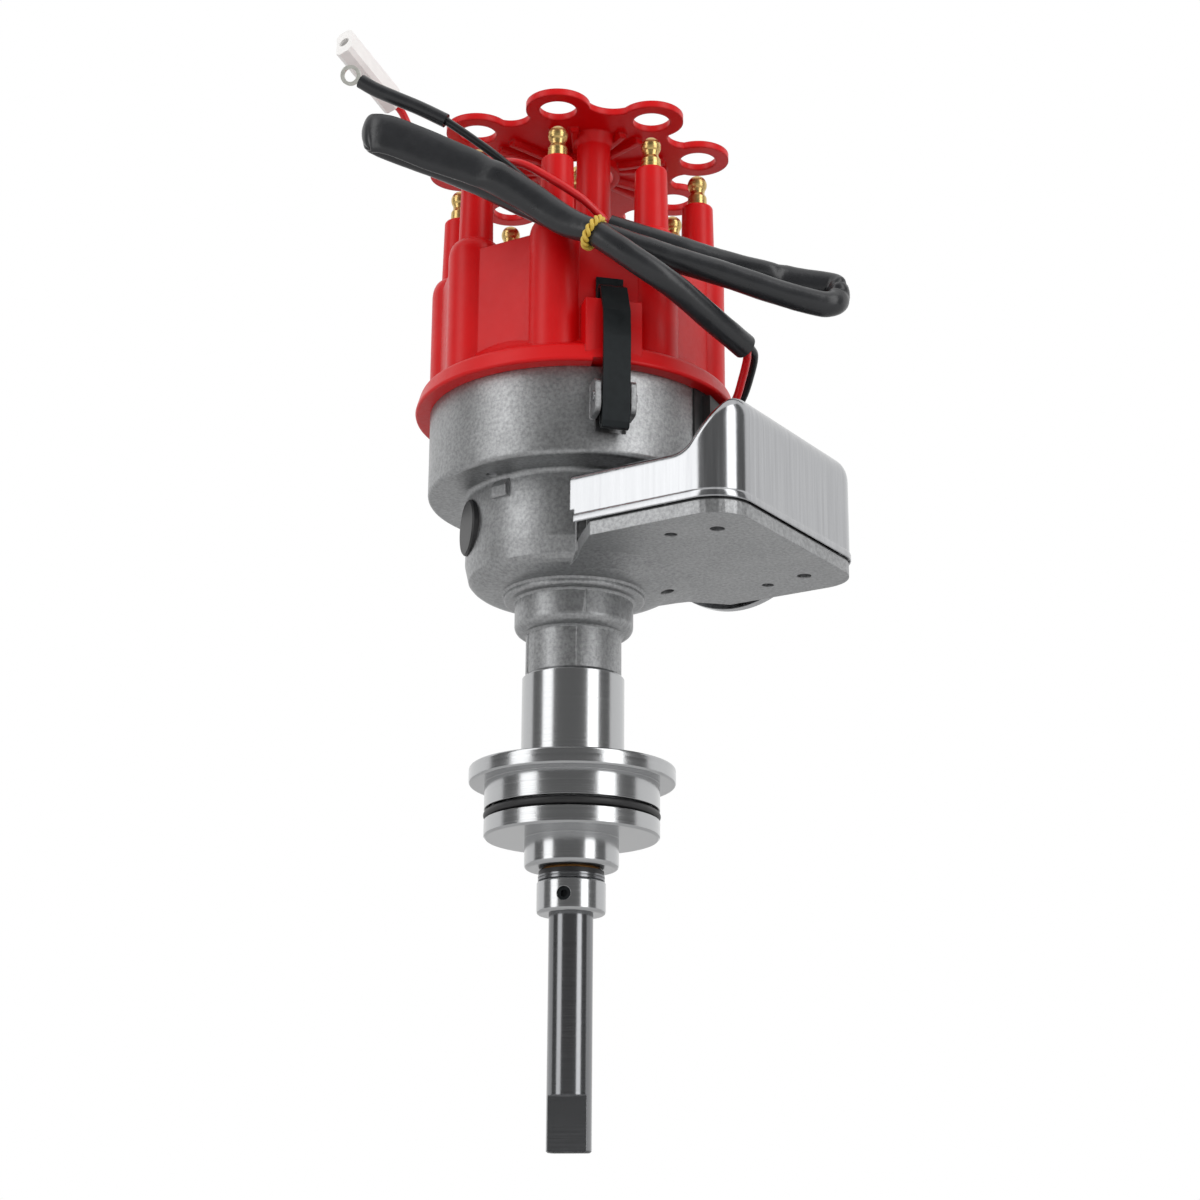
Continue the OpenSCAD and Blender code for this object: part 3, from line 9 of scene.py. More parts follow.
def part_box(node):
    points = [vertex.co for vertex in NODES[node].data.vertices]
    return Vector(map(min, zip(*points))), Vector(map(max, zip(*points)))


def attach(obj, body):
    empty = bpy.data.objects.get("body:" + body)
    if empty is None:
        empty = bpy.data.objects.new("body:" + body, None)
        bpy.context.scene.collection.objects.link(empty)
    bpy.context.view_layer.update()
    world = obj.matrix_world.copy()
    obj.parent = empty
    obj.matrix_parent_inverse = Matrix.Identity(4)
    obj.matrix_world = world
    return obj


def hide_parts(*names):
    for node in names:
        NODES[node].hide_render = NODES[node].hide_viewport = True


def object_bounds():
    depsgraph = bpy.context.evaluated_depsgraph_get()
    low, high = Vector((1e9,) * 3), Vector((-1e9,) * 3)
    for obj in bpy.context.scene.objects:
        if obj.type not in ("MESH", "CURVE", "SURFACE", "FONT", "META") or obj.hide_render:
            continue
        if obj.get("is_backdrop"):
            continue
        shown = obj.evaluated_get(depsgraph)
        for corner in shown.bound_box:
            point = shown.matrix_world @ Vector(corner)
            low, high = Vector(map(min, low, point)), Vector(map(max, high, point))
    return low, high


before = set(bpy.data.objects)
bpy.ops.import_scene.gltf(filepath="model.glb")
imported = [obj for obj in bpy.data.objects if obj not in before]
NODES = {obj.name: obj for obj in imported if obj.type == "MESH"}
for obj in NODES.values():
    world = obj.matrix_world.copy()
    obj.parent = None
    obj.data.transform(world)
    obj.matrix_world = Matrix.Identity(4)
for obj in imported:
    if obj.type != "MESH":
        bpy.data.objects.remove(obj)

bl_info = {
    "name": "Ignition distributor",
    "version": (1, 0, 0),
    "blender": (4, 5, 0),
    "location": "3D View > Sidebar > Distributor",
    "description": "Dresses the packed distributor: harness, finishes, camera and stage",
    "category": "Object",
}

MM = 0.001
UP = Vector((0, 0, 1))

# The photograph's view: how far the part is turned, then the camera's pitch, roll, place and lens
CAMERA_TURN = math.radians(33)
CAMERA_PITCH = math.radians(16.908)
CAMERA_ROLL = math.radians(-0.365)
CAMERA_PLACE = (0.3612, -0.5421, -0.1417)
CAMERA_LENS = 68.93


def facing(x, y, z):
    """The point so many millimetres right, away and up for the camera, in the part's own frame."""
    c, s = math.cos(CAMERA_TURN), math.sin(CAMERA_TURN)
    return Vector((c * x - s * y, s * x + c * y, z)) * MM


def srgb(code):
    """Turns a colour code such as #d8141c into the linear colour that a shader wants."""
    parts = [int(code[i:i + 2], 16) / 255 for i in (1, 3, 5)]
    linear = [p / 12.92 if p <= 0.04045 else ((p + 0.055) / 1.055) ** 2.4 for p in parts]
    return (*linear, 1.0)


def darker(colour, share):
    """That share of a linear colour, opaque."""
    return tuple(share * c for c in colour[:3]) + (1,)


# ---------------------------------------------------------------- settings

class HarnessSettings(bpy.types.PropertyGroup):
    tube_diameter: FloatProperty(
        name="Tube diameter", description="Outside diameter that the black tube's cord states",
        default=7.4 * MM, min=7 * MM, max=8 * MM, unit="LENGTH")
    lead_diameter: FloatProperty(
        name="Lead diameter", description="Diameter of a single insulated lead",
        default=2.4 * MM, min=2 * MM, max=2.8 * MM, unit="LENGTH")
    sleeve_diameter: FloatProperty(
        name="Shrink sleeve diameter", description="Diameter of the ring terminal's sleeve",
        default=4.2 * MM, min=3.6 * MM, max=4.6 * MM, unit="LENGTH")


class CoverSettings(bpy.types.PropertyGroup):
    start: FloatProperty(
        name="Start", description="Distance from the shaft's axis to the cover's end at the bowl",
        default=24.5 * MM, unit="LENGTH")
    corner: FloatProperty(
        name="Corner radius", description="Radius of the two upright corners",
        default=11.5 * MM, unit="LENGTH")
    low_roof: FloatProperty(
        name="Low roof", description="Height of the low roof beside the bowl",
        default=79.1 * MM, unit="LENGTH")
    high_roof: FloatProperty(
        name="High roof", description="Height of the hump's roof", default=98.2 * MM, unit="LENGTH")
    rise_start: FloatProperty(
        name="Start of the rise", description="Where the roof starts to rise to the hump",
        default=56.5 * MM, unit="LENGTH")
    low_edge: FloatProperty(
        name="Low edge radius", description="Rounding of the low roof's edges",
        default=2.6 * MM, unit="LENGTH")
    high_edge: FloatProperty(name="High edge radius", description="Rounding of the hump's edges",
                             default=9 * MM, unit="LENGTH")
    lip_height: FloatProperty(name="Lip height", description="Height of the lip along the bottom",
                              default=2.2 * MM, unit="LENGTH")
    lip_proud: FloatProperty(name="Lip", description="How far the lip stands proud of the wall",
                             default=0.4 * MM, unit="LENGTH")
    end_step: FloatProperty(
        name="End step", description="How much later the lower wall starts than the upper wall",
        default=1.4 * MM, unit="LENGTH")
    sheet: FloatProperty(
        name="Sheet", description="Thickness of the drawn sheet", default=1.0 * MM, unit="LENGTH")
    bowl_clearance: FloatProperty(
        name="Bowl clearance", description="Radius of the cut that clears the lower bowl",
        default=33.2 * MM, unit="LENGTH")


class FinishSettings(bpy.types.PropertyGroup):
    cap_red: FloatVectorProperty(
        name="Cap red", description="Colour of the moulded cap and wire retainer",
        subtype="COLOR", size=4, min=0, max=1, default=srgb("#d0060b"))
    cast_grey: FloatVectorProperty(
        name="Casting grey", description="Colour of the blasted aluminium casting",
        subtype="COLOR", size=4, min=0, max=1, default=srgb("#aeafb0"))
    brass_yellow: FloatVectorProperty(
        name="Brass", description="Colour of the turned brass terminals",
        subtype="COLOR", size=4, min=0, max=1, default=srgb("#dcbc7a"))


class StageSettings(bpy.types.PropertyGroup):
    floor_colour: FloatVectorProperty(
        name="Floor colour", description="Colour of the studio floor",
        subtype="COLOR", size=4, min=0, max=1, default=srgb("#d2d2d2"))
    strip_power: FloatProperty(
        name="Strip lamps", description="Power of the left tall lamp, which the right one follows",
        default=12.0, min=0, subtype="POWER")
    wall_level: FloatProperty(
        name="Dark wall", description="Brightness of the dim half of the studio, where 1 is white",
        default=0.18, min=0, max=1, subtype="FACTOR")


# ---------------------------------------------------------------- materials

# Nearly all of a noise pattern lies between these values
MIDDLE = {"From Min": 0.3, "From Max": 0.7}


def add(tree, kind, links=None, **settings):
    """Adds a node, sets its properties, and links or fills its inputs."""
    made = tree.nodes.new(kind)
    for name, value in settings.items():
        setattr(made, name, value)
    for name, value in (links or {}).items():
        socket = made.inputs[name]
        if isinstance(value, bpy.types.NodeSocket):
            tree.links.new(value, socket)
        else:
            socket.default_value = value
    return made


def new_finish(name):
    """An empty node material, and the object coordinates that its patterns use."""
    material = bpy.data.materials.new(name)
    material.use_nodes = True
    tree = material.node_tree
    tree.nodes.clear()
    where = add(tree, "ShaderNodeTexCoord").outputs["Object"]
    return material, tree, where


def close_finish(material, tree, **shader):
    """Ends a material with the shader, given its inputs with underscores for spaces."""
    surface = add(tree, "ShaderNodeBsdfPrincipled",
                  {k.replace("_", " "): v for k, v in shader.items()})
    add(tree, "ShaderNodeOutputMaterial", {"Surface": surface.outputs["BSDF"]})
    return material


def blasted_cast_aluminium(grey):
    """Aluminium, cast and bead blasted: an even grey, with a grain that scatters highlights."""
    material, tree, where = new_finish("blasted_cast_aluminium")
    # Blasting leaves a grain of about 0.2 mm, drawn here at about 1 mm so that it shows
    grain = add(tree, "ShaderNodeTexNoise", {"Vector": where, "Scale": 1000, "Detail": 4,
                                             "Roughness": 0.65})
    # The casting's own skin varies over about 11 mm
    skin = add(tree, "ShaderNodeTexNoise", {"Vector": where, "Scale": 90, "Detail": 4})
    spread = add(tree, "ShaderNodeMapRange",
                 {"Value": grain.outputs["Fac"], "From Min": 0.35, "From Max": 0.65})
    colour = add(tree, "ShaderNodeMix", {0: spread.outputs["Result"], 6: darker(grey, 0.66),
                                         7: tuple(grey)}, data_type="RGBA")
    rough = add(tree, "ShaderNodeMapRange",
                {"Value": skin.outputs["Fac"], **MIDDLE, "To Min": 0.38, "To Max": 0.48})
    edge = add(tree, "ShaderNodeBevel", {"Radius": 0.5 * MM}, samples=4)
    bump = add(tree, "ShaderNodeBump", {"Height": grain.outputs["Fac"], "Strength": 0.7,
                                        "Distance": 0.09 * MM, "Normal": edge.outputs["Normal"]})
    return close_finish(material, tree, Base_Color=colour.outputs[2], Metallic=1.0,
                        Roughness=rough.outputs["Result"], Normal=bump.outputs["Normal"])


def turned_aluminium():
    """Aluminium, turned on a lathe: bright, with fine rings that streak the reflections."""
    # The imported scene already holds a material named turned_aluminium
    material, tree, where = new_finish("lathe_turned_aluminium")
    # Tool rings about 0.4 mm apart, drawn coarser than the real ones so that they show
    squash = add(tree, "ShaderNodeMapping", {"Vector": where, "Scale": (6, 6, 2600)})
    rings = add(tree, "ShaderNodeTexNoise",
                {"Vector": squash.outputs["Vector"], "Scale": 1, "Detail": 3})
    rough = add(tree, "ShaderNodeMapRange",
                {"Value": rings.outputs["Fac"], **MIDDLE, "To Min": 0.13, "To Max": 0.26})
    edge = add(tree, "ShaderNodeBevel", {"Radius": 0.3 * MM}, samples=4)
    bump = add(tree, "ShaderNodeBump", {"Height": rings.outputs["Fac"], "Strength": 0.25,
                                        "Distance": 0.02 * MM, "Normal": edge.outputs["Normal"]})
    return close_finish(material, tree, Base_Color=srgb("#b4b5b6"), Metallic=1.0,
                        Roughness=rough.outputs["Result"], Normal=bump.outputs["Normal"])


def ground_steel():
    """Steel, centreless ground: darker than the aluminium, smooth, with hair lines round it."""
    material, tree, where = new_finish("ground_steel")
    # Grinding lines about 0.3 mm apart, coarser than the real ones so that they show
    squash = add(tree, "ShaderNodeMapping", {"Vector": where, "Scale": (20, 20, 3500)})
    rings = add(tree, "ShaderNodeTexNoise",
                {"Vector": squash.outputs["Vector"], "Scale": 1, "Detail": 2})
    rough = add(tree, "ShaderNodeMapRange",
                {"Value": rings.outputs["Fac"], **MIDDLE, "To Min": 0.14, "To Max": 0.24})
    edge = add(tree, "ShaderNodeBevel", {"Radius": 0.2 * MM}, samples=4)
    return close_finish(material, tree, Base_Color=srgb("#7c7d7f"), Metallic=1.0,
                        Roughness=rough.outputs["Result"], Normal=edge.outputs["Normal"])


def bright_plated_steel():
    """Steel, drawn and bright plated: bright, with faint upright streaks and a slight ripple."""
    material, tree, where = new_finish("bright_plated_steel")
    # Drawing streaks about 1.4 mm wide and 45 mm tall, over a ripple of about 14 mm
    tall = add(tree, "ShaderNodeMapping", {"Vector": where, "Scale": (700, 700, 22)})
    streak = add(tree, "ShaderNodeTexNoise",
                {"Vector": tall.outputs["Vector"], "Scale": 1, "Detail": 4})
    ripple = add(tree, "ShaderNodeTexNoise", {"Vector": where, "Scale": 70, "Detail": 3})
    shade = add(tree, "ShaderNodeMapRange", {"Value": streak.outputs["Fac"], **MIDDLE})
    colour = add(tree, "ShaderNodeMix", {0: shade.outputs["Result"], 6: srgb("#a4a5a7"),
                                         7: srgb("#b4b5b7")}, data_type="RGBA")
    rough = add(tree, "ShaderNodeMapRange",
                {"Value": streak.outputs["Fac"], **MIDDLE, "To Min": 0.14, "To Max": 0.24})
    edge = add(tree, "ShaderNodeBevel", {"Radius": 0.4 * MM}, samples=4)
    bump = add(tree, "ShaderNodeBump", {"Height": ripple.outputs["Fac"], "Strength": 0.25,
                                        "Distance": 0.2 * MM, "Normal": edge.outputs["Normal"]})
    return close_finish(material, tree, Base_Color=colour.outputs[2], Metallic=1.0,
                        Roughness=rough.outputs["Result"], Normal=bump.outputs["Normal"])


def tinned_copper():
    """Copper sheet, stamped and tinned: pale silver and soft, so that it never mirrors sharply."""
    material, tree, where = new_finish("tinned_copper")
    # Tin clouds of about 1.1 mm
    tin = add(tree, "ShaderNodeTexNoise", {"Vector": where, "Scale": 900, "Detail": 3})
    colour = add(tree, "ShaderNodeMix", {0: tin.outputs["Fac"], 6: srgb("#b4b4ac"),
                                         7: srgb("#dcdcd6")}, data_type="RGBA")
    return close_finish(material, tree, Base_Color=colour.outputs[2], Metallic=1.0, Roughness=0.45)


def moulded_polyester(name, red, rounding):
    """Glass-filled polyester, compression moulded: deep red, waxy, with a faint flow mottle."""
    material, tree, where = new_finish(name)
    # Flow marks of about 8 mm under a moulded skin of about 1.1 mm
    flow = add(tree, "ShaderNodeTexNoise", {"Vector": where, "Scale": 120, "Detail": 4})
    skin = add(tree, "ShaderNodeTexNoise", {"Vector": where, "Scale": 900, "Detail": 2})
    colour = add(tree, "ShaderNodeMix", {0: flow.outputs["Fac"], 6: darker(red, 0.82),
                                         7: tuple(red)}, data_type="RGBA")
    rough = add(tree, "ShaderNodeMapRange",
                {"Value": skin.outputs["Fac"], **MIDDLE, "To Min": 0.32, "To Max": 0.42})
    edge = add(tree, "ShaderNodeBevel", {"Radius": rounding}, samples=4)
    bump = add(tree, "ShaderNodeBump", {"Height": skin.outputs["Fac"], "Strength": 0.2,
                                        "Distance": 0.03 * MM, "Normal": edge.outputs["Normal"]})
    return close_finish(material, tree, Base_Color=colour.outputs[2],
                        Roughness=rough.outputs["Result"], Normal=bump.outputs["Normal"], IOR=1.5,
                        Specular_IOR_Level=0.25)


def turned_brass(yellow):
    """Brass, turned: warm yellow, smooth, with tool rings and a slight tarnish."""
    material, tree, where = new_finish("turned_brass")
    # Tool rings about 0.4 mm apart, and tarnish in clouds of about 4 mm
    squash = add(tree, "ShaderNodeMapping", {"Vector": where, "Scale": (30, 30, 2400)})
    rings = add(tree, "ShaderNodeTexNoise",
                {"Vector": squash.outputs["Vector"], "Scale": 1, "Detail": 2})
    tarnish = add(tree, "ShaderNodeTexNoise", {"Vector": where, "Scale": 260, "Detail": 3})
    colour = add(tree, "ShaderNodeMix", {0: tarnish.outputs["Fac"], 6: darker(yellow, 0.78),
                                         7: tuple(yellow)}, data_type="RGBA")
    rough = add(tree, "ShaderNodeMapRange",
                {"Value": rings.outputs["Fac"], **MIDDLE, "To Min": 0.24, "To Max": 0.38})
    return close_finish(material, tree, Base_Color=colour.outputs[2], Metallic=1.0,
                        Roughness=rough.outputs["Result"])


def sintered_bronze():
    """Bronze, sintered: brown and dull, with open pores that hold oil."""
    material, tree, where = new_finish("sintered_bronze")
    # Pores of about 0.5 mm, coarser than the real ones so that they show
    pores = add(tree, "ShaderNodeTexNoise", {"Vector": where, "Scale": 2200, "Detail": 2})
    bump = add(tree, "ShaderNodeBump",
               {"Height": pores.outputs["Fac"], "Strength": 0.6, "Distance": 0.05 * MM})
    colour = add(tree, "ShaderNodeMix", {0: pores.outputs["Fac"], 6: srgb("#6c4a2a"),
                                         7: srgb("#a07440")}, data_type="RGBA")
    return close_finish(material, tree, Base_Color=colour.outputs[2], Metallic=1.0, Roughness=0.5,
                        Normal=bump.outputs["Normal"])


def nitrile_rubber():
    """Nitrile rubber, moulded: near black, with a soft broad sheen and a dusty bloom."""
    material, tree, where = new_finish("nitrile_rubber")
    # Dusty bloom in patches of about 2 mm
    bloom = add(tree, "ShaderNodeTexNoise", {"Vector": where, "Scale": 500, "Detail": 4})
    colour = add(tree, "ShaderNodeMix", {0: bloom.outputs["Fac"], 6: srgb("#121213"),
                                         7: srgb("#242425")}, data_type="RGBA")
    bump = add(tree, "ShaderNodeBump",
               {"Height": bloom.outputs["Fac"], "Strength": 0.3, "Distance": 0.04 * MM})
    return close_finish(material, tree, Base_Color=colour.outputs[2], Roughness=0.46,
                        Normal=bump.outputs["Normal"])


def blackened_spring_steel():
    """Spring steel, hardened and oil blacked: charcoal with a dull metallic gloss."""
    material, tree, where = new_finish("blackened_spring_steel")
    # Oxide in patches of about 2.4 mm
    oxide = add(tree, "ShaderNodeTexNoise", {"Vector": where, "Scale": 420, "Detail": 5})
    colour = add(tree, "ShaderNodeMix", {0: oxide.outputs["Fac"], 6: srgb("#131719"),
                                         7: srgb("#23282a")}, data_type="RGBA")
    rough = add(tree, "ShaderNodeMapRange",
                {"Value": oxide.outputs["Fac"], **MIDDLE, "To Min": 0.36, "To Max": 0.5})
    edge = add(tree, "ShaderNodeBevel", {"Radius": 0.2 * MM}, samples=4)
    return close_finish(material, tree, Base_Color=colour.outputs[2], Metallic=0.6,
                        Roughness=rough.outputs["Result"], Normal=edge.outputs["Normal"])


def moulded_black_nylon():
    """Nylon, glass filled and moulded: black, slightly grey where the fibres lie near the skin."""
    material, tree, where = new_finish("moulded_black_nylon")
    # Fibre clouds of about 1.3 mm
    fibres = add(tree, "ShaderNodeTexNoise", {"Vector": where, "Scale": 800, "Detail": 4})
    colour = add(tree, "ShaderNodeMix", {0: fibres.outputs["Fac"], 6: srgb("#151516"),
                                         7: srgb("#28292a")}, data_type="RGBA")
    return close_finish(material, tree, Base_Color=colour.outputs[2], Roughness=0.5)


def pressed_carbon():
    """Carbon, pressed from powder: matt grey-black with a fine sparkle."""
    material, tree, where = new_finish("pressed_carbon")
    # Grains of about 0.4 mm, coarser than the real ones so that they show
    powder = add(tree, "ShaderNodeTexNoise", {"Vector": where, "Scale": 2600, "Detail": 2})
    colour = add(tree, "ShaderNodeMix", {0: powder.outputs["Fac"], 6: srgb("#1d1d1f"),
                                         7: srgb("#3a3a3d")}, data_type="RGBA")
    return close_finish(material, tree, Base_Color=colour.outputs[2], Roughness=0.6)


def shrink_tube():
    """Polyolefin tube, extruded: charcoal black, satin, with shallow wrinkles all along."""
    material, tree, where = new_finish("shrink_tube")
    # Wrinkles of about 6 mm
    wrinkle = add(tree, "ShaderNodeTexNoise", {"Vector": where, "Scale": 160, "Detail": 5,
                                               "Roughness": 0.6})
    colour = add(tree, "ShaderNodeMix", {0: wrinkle.outputs["Fac"], 6: srgb("#1a1b1d"),
                                         7: srgb("#28292c")}, data_type="RGBA")
    rough = add(tree, "ShaderNodeMapRange",
                {"Value": wrinkle.outputs["Fac"], **MIDDLE, "To Min": 0.26, "To Max": 0.38})
    bump = add(tree, "ShaderNodeBump",
               {"Height": wrinkle.outputs["Fac"], "Strength": 0.45, "Distance": 0.35 * MM})
    return close_finish(material, tree, Base_Color=colour.outputs[2],
                        Roughness=rough.outputs["Result"], Normal=bump.outputs["Normal"])


def extruded_vinyl(name, code):
    """Vinyl insulation, extruded: smooth and glossy, with a slight unevenness of colour."""
    material, tree, where = new_finish(name)
    # Colour drifts over about 4.5 mm
    drift = add(tree, "ShaderNodeTexNoise", {"Vector": where, "Scale": 220, "Detail": 3})
    full = srgb(code)
    colour = add(tree, "ShaderNodeMix", {0: drift.outputs["Fac"], 6: darker(full, 0.78), 7: full},
                 data_type="RGBA")
    return close_finish(material, tree, Base_Color=colour.outputs[2], Roughness=0.3)


def moulded_white_nylon():
    """Nylon, natural and moulded: milky white with a faint cloudiness."""
    material, tree, where = new_finish("moulded_white_nylon")
    # Clouds of about 3.3 mm
    cloud = add(tree, "ShaderNodeTexNoise", {"Vector": where, "Scale": 300, "Detail": 3})
    colour = add(tree, "ShaderNodeMix", {0: cloud.outputs["Fac"], 6: srgb("#dddbd9"),
                                         7: srgb("#efedeb")}, data_type="RGBA")
    return close_finish(material, tree, Base_Color=colour.outputs[2], Roughness=0.38)


def yellow_nylon_tie():
    """Nylon strand, extruded and dyed: opaque yellow with a light grain."""
    material, tree, where = new_finish("yellow_nylon_tie")
    # Grain of about 1.4 mm
    grain = add(tree, "ShaderNodeTexNoise", {"Vector": where, "Scale": 700, "Detail": 3})
    colour = add(tree, "ShaderNodeMix", {0: grain.outputs["Fac"], 6: srgb("#b8982e"),
                                         7: srgb("#dfbd52")}, data_type="RGBA")
    return close_finish(material, tree, Base_Color=colour.outputs[2], Roughness=0.42)


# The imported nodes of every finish
FINISHES = {
    "blasted_cast_aluminium": "housing",
    "lathe_turned_aluminium": "mounting_adapter shaft_collar",
    "ground_steel":
        "drive_shaft steel_shim advance_base_plate advance_weight_a advance_weight_b cam_sleeve "
        "lower_plate pickup_plate vacuum_rod",
    "bright_plated_steel":
        "weight_springs plate_screws pickup_screws front_clip_pin rear_clip_pin module_screws "
        "module_cover cover_screws canister_inner_shell canister_outer_shell canister_screws "
        "diaphragm_spring",
    "tinned_copper": "ring_terminal",
    "moulded_polyester": "rotor cap",
    "thin_moulded_polyester": "wire_retainer",
    "turned_brass": "rotor_contact tower_terminals coil_terminal",
    "sintered_bronze": "lower_bush upper_bush",
    "nitrile_rubber":
        "pilot_o_ring bowl_plug rubber_washer cover_gasket vacuum_diaphragm wire_grommet",
    "blackened_spring_steel": "collar_set_screw reluctor retainer_screws front_clip rear_clip",
    "moulded_black_nylon": "magnetic_pickup ignition_module",
    "pressed_carbon": "carbon_brush",
    "shrink_tube": "harness_sleeve ring_sleeve",
    "red_vinyl": "red_lead red_tail",
    "black_vinyl": "black_lead black_tail",
    "moulded_white_nylon": "lead_connector",
    "yellow_nylon_tie": "harness_tie",
}
FINISH_OF = {node: finish for finish, nodes in FINISHES.items() for node in nodes.split()}


def paint(piece, finish):
    """Gives a piece one material all over."""
    piece.data.materials.clear()
    piece.data.materials.append(bpy.data.materials[finish])


# ---------------------------------------------------------------- modelling helpers

def clear_selection():
    """Leaves edit mode and deselects everything."""
    if bpy.context.object and bpy.context.object.mode != "OBJECT":
        bpy.ops.object.mode_set(mode="OBJECT")
    bpy.ops.object.select_all(action="DESELECT")


def select(*pieces):
    """Selects these pieces alone, with the first of them active."""
    clear_selection()
    for piece in pieces:
        piece.select_set(True)
    bpy.context.view_layer.objects.active = pieces[0]


def smooth_path(points, steps):
    """A curve through all the points, with that many steps between two of them."""
    ends = [points[0] * 2 - points[1]] + list(points) + [points[-1] * 2 - points[-2]]
    path = []
    for a, b, c, d in zip(ends, ends[1:], ends[2:], ends[3:]):
        for i in range(steps):
            t = i / steps
            path.append(0.5 * ((2 * b) + (c - a) * t + (2 * a - 5 * b + 4 * c - d) * t * t
                               + (3 * b - a - 3 * c + d) * t ** 3))
    return path + [points[-1]]


def wire(name, points, diameter, finish, steps=6):
    """A round lead through the points, as a curve with a bevel."""
    path = smooth_path([facing(*p) for p in points], steps)
    curve = bpy.data.curves.new(name, "CURVE")
    curve.dimensions = "3D"
    curve.bevel_depth = diameter / 2
    curve.bevel_resolution = 4
    curve.use_fill_caps = True
    spline = curve.splines.new("POLY")
    spline.points.add(len(path) - 1)
    for point, at in zip(spline.points, path):
        point.co = (*at, 1)
        point.radius = 1
    spline.use_smooth = True
    piece = bpy.data.objects.new(name, curve)
    bpy.context.collection.objects.link(piece)
    paint(piece, finish)
    return piece, path


def skin(name, rows, finish):
    """A sheet of quads through equally long rows of points, as a mesh piece."""
    made = bmesh.new()
    grid = [[made.verts.new(p) for p in row] for row in rows]
    for low, high in zip(grid, grid[1:]):
        for a, b, c, d in zip(low, low[1:], high[1:], high):
            made.faces.new((a, b, c, d))
    bmesh.ops.remove_doubles(made, verts=made.verts, dist=1e-6)
    bmesh.ops.recalc_face_normals(made, faces=made.faces)
    mesh = bpy.data.meshes.new(name)
    made.to_mesh(mesh)
    made.free()
    piece = bpy.data.objects.new(name, mesh)
    bpy.context.collection.objects.link(piece)
    paint(piece, finish)
    return piece


def apply_modifier(piece, kind, **settings):
    """Adds one modifier to a piece and applies it."""
    select(piece)
    modifier = piece.modifiers.new(kind.lower(), kind)
    for name, value in settings.items():
        setattr(modifier, name, value)
    bpy.ops.object.modifier_apply(modifier=modifier.name)


def along(table, at):
    """The rows' values at one place, blended softly between the two rows on either side."""
    low = max((row for row in table if row[0] <= at), key=lambda row: row[0])
    high = min((row for row in table if row[0] >= at), key=lambda row: row[0])
    t = (at - low[0]) / (high[0] - low[0]) if high[0] > low[0] else 0
    t = t * t * (3 - 2 * t)
    return [a + (b - a) * t for a, b in zip(low[1:], high[1:])]


def eased(path, rounds):
    """The same path with its small kinks evened out, and its ends where they were."""
    for _ in range(rounds):
        inside = [(a + b * 2 + c) / 4 for a, b, c in zip(path, path[1:], path[2:])]
        path = [path[0]] + inside + [path[-1]]
    return path


def soft_tube(name, points, shape, creases, finish, steps=8, sides=32):
    """A thin tube that is pressed flat in places, with open ends, as a mesh with its centreline."""
    # The unevenness: share of the radius, and swells per millimetre
    swells = ((0.035, 0.16), (0.012, 0.7))
    # The open ends: depth in millimetres, then the bore's share of the radius at its two ends
    mouth_depth, lip_share, end_share = 5, 0.8, 0.78
    path = smooth_path([Vector(p) for p in points], steps)
    rows, middle = [], []
    for i, at in enumerate(path):
        ahead = (path[min(i + 1, len(path) - 1)] - path[max(i - 1, 0)]).normalized()
        above = (UP - ahead * ahead.z).normalized()
        deep = ahead.cross(above)
        high, thick, drop = along(shape, i / steps)
        centre = at - above * drop
        middle.append(centre)
        row = []
        for k in range(sides + 1):
            turn = 2 * math.pi * (k % sides) / sides
            out = above * (high * math.cos(turn)) + deep * (thick * math.sin(turn))
            swell = 1
            for share, rate in swells:
                swell += share * noise.noise((centre + out) * rate)
            for place, depth, width, toward in creases:
                side = 0.5 + 0.5 * math.cos(turn - toward)
                swell -= depth * side * side * math.exp(-((i / steps - place) / width) ** 2)
            row.append(centre + out * swell)
        rows.append(row)

    def mouth(row, centre, inwards):
        """The rows of an open end, from its lip to the middle of its end wall."""
        deepest = centre + inwards * mouth_depth
        return [[centre + (p - centre) * lip_share for p in row],
                [deepest + (p - centre) * end_share for p in row], [deepest for p in row]]

    start = mouth(rows[0], middle[0], (middle[1] - middle[0]).normalized())
    end = mouth(rows[-1], middle[-1], (middle[-2] - middle[-1]).normalized())
    rows = start[::-1] + rows + end
    piece = skin(name, [[facing(*p) for p in row] for row in rows], finish)
    select(piece)
    bpy.ops.object.shade_smooth_by_angle(angle=math.radians(50))
    return piece, eased([facing(*p) for p in middle], rounds=10)


def twisted_tie(name, near, far, along_tube, radius, strand, turns, finish):
    """Two strands twisted together round two tubes, as one mesh piece. Sizes are in millimetres."""
    near, far, ahead = Vector(near), Vector(far), Vector(along_tube).normalized()
    across = (far - near) - ahead * (far - near).dot(ahead)
    across.normalize()
    side = ahead.cross(across)
    count = 160
    # How far each strand keeps from the loop's line, outwards and along the tubes
    lift, spread = 0.48 * strand, 0.6 * strand
    strands = []
    for phase in (0, math.pi):
        points = []
        for i in range(count + 1):
            turn = 2 * math.pi * (i % count) / count
            centre = far if math.cos(turn) > 0 else near
            out = across * math.cos(turn) + side * math.sin(turn)
            twist = turns * turn + phase
            points.append(centre + out * (radius + lift * math.cos(twist))
                          + ahead * (spread * math.sin(twist)))
        strands.append(wire(name + "_strand", points, strand * MM, finish, steps=1)[0])
    select(*strands)
    bpy.ops.object.convert(target="MESH")
    bpy.ops.object.join()
    strands[0].name = name
    bpy.ops.object.shade_smooth_by_angle(angle=math.radians(50))
    return strands[0]


# ---------------------------------------------------------------- routes of the harness

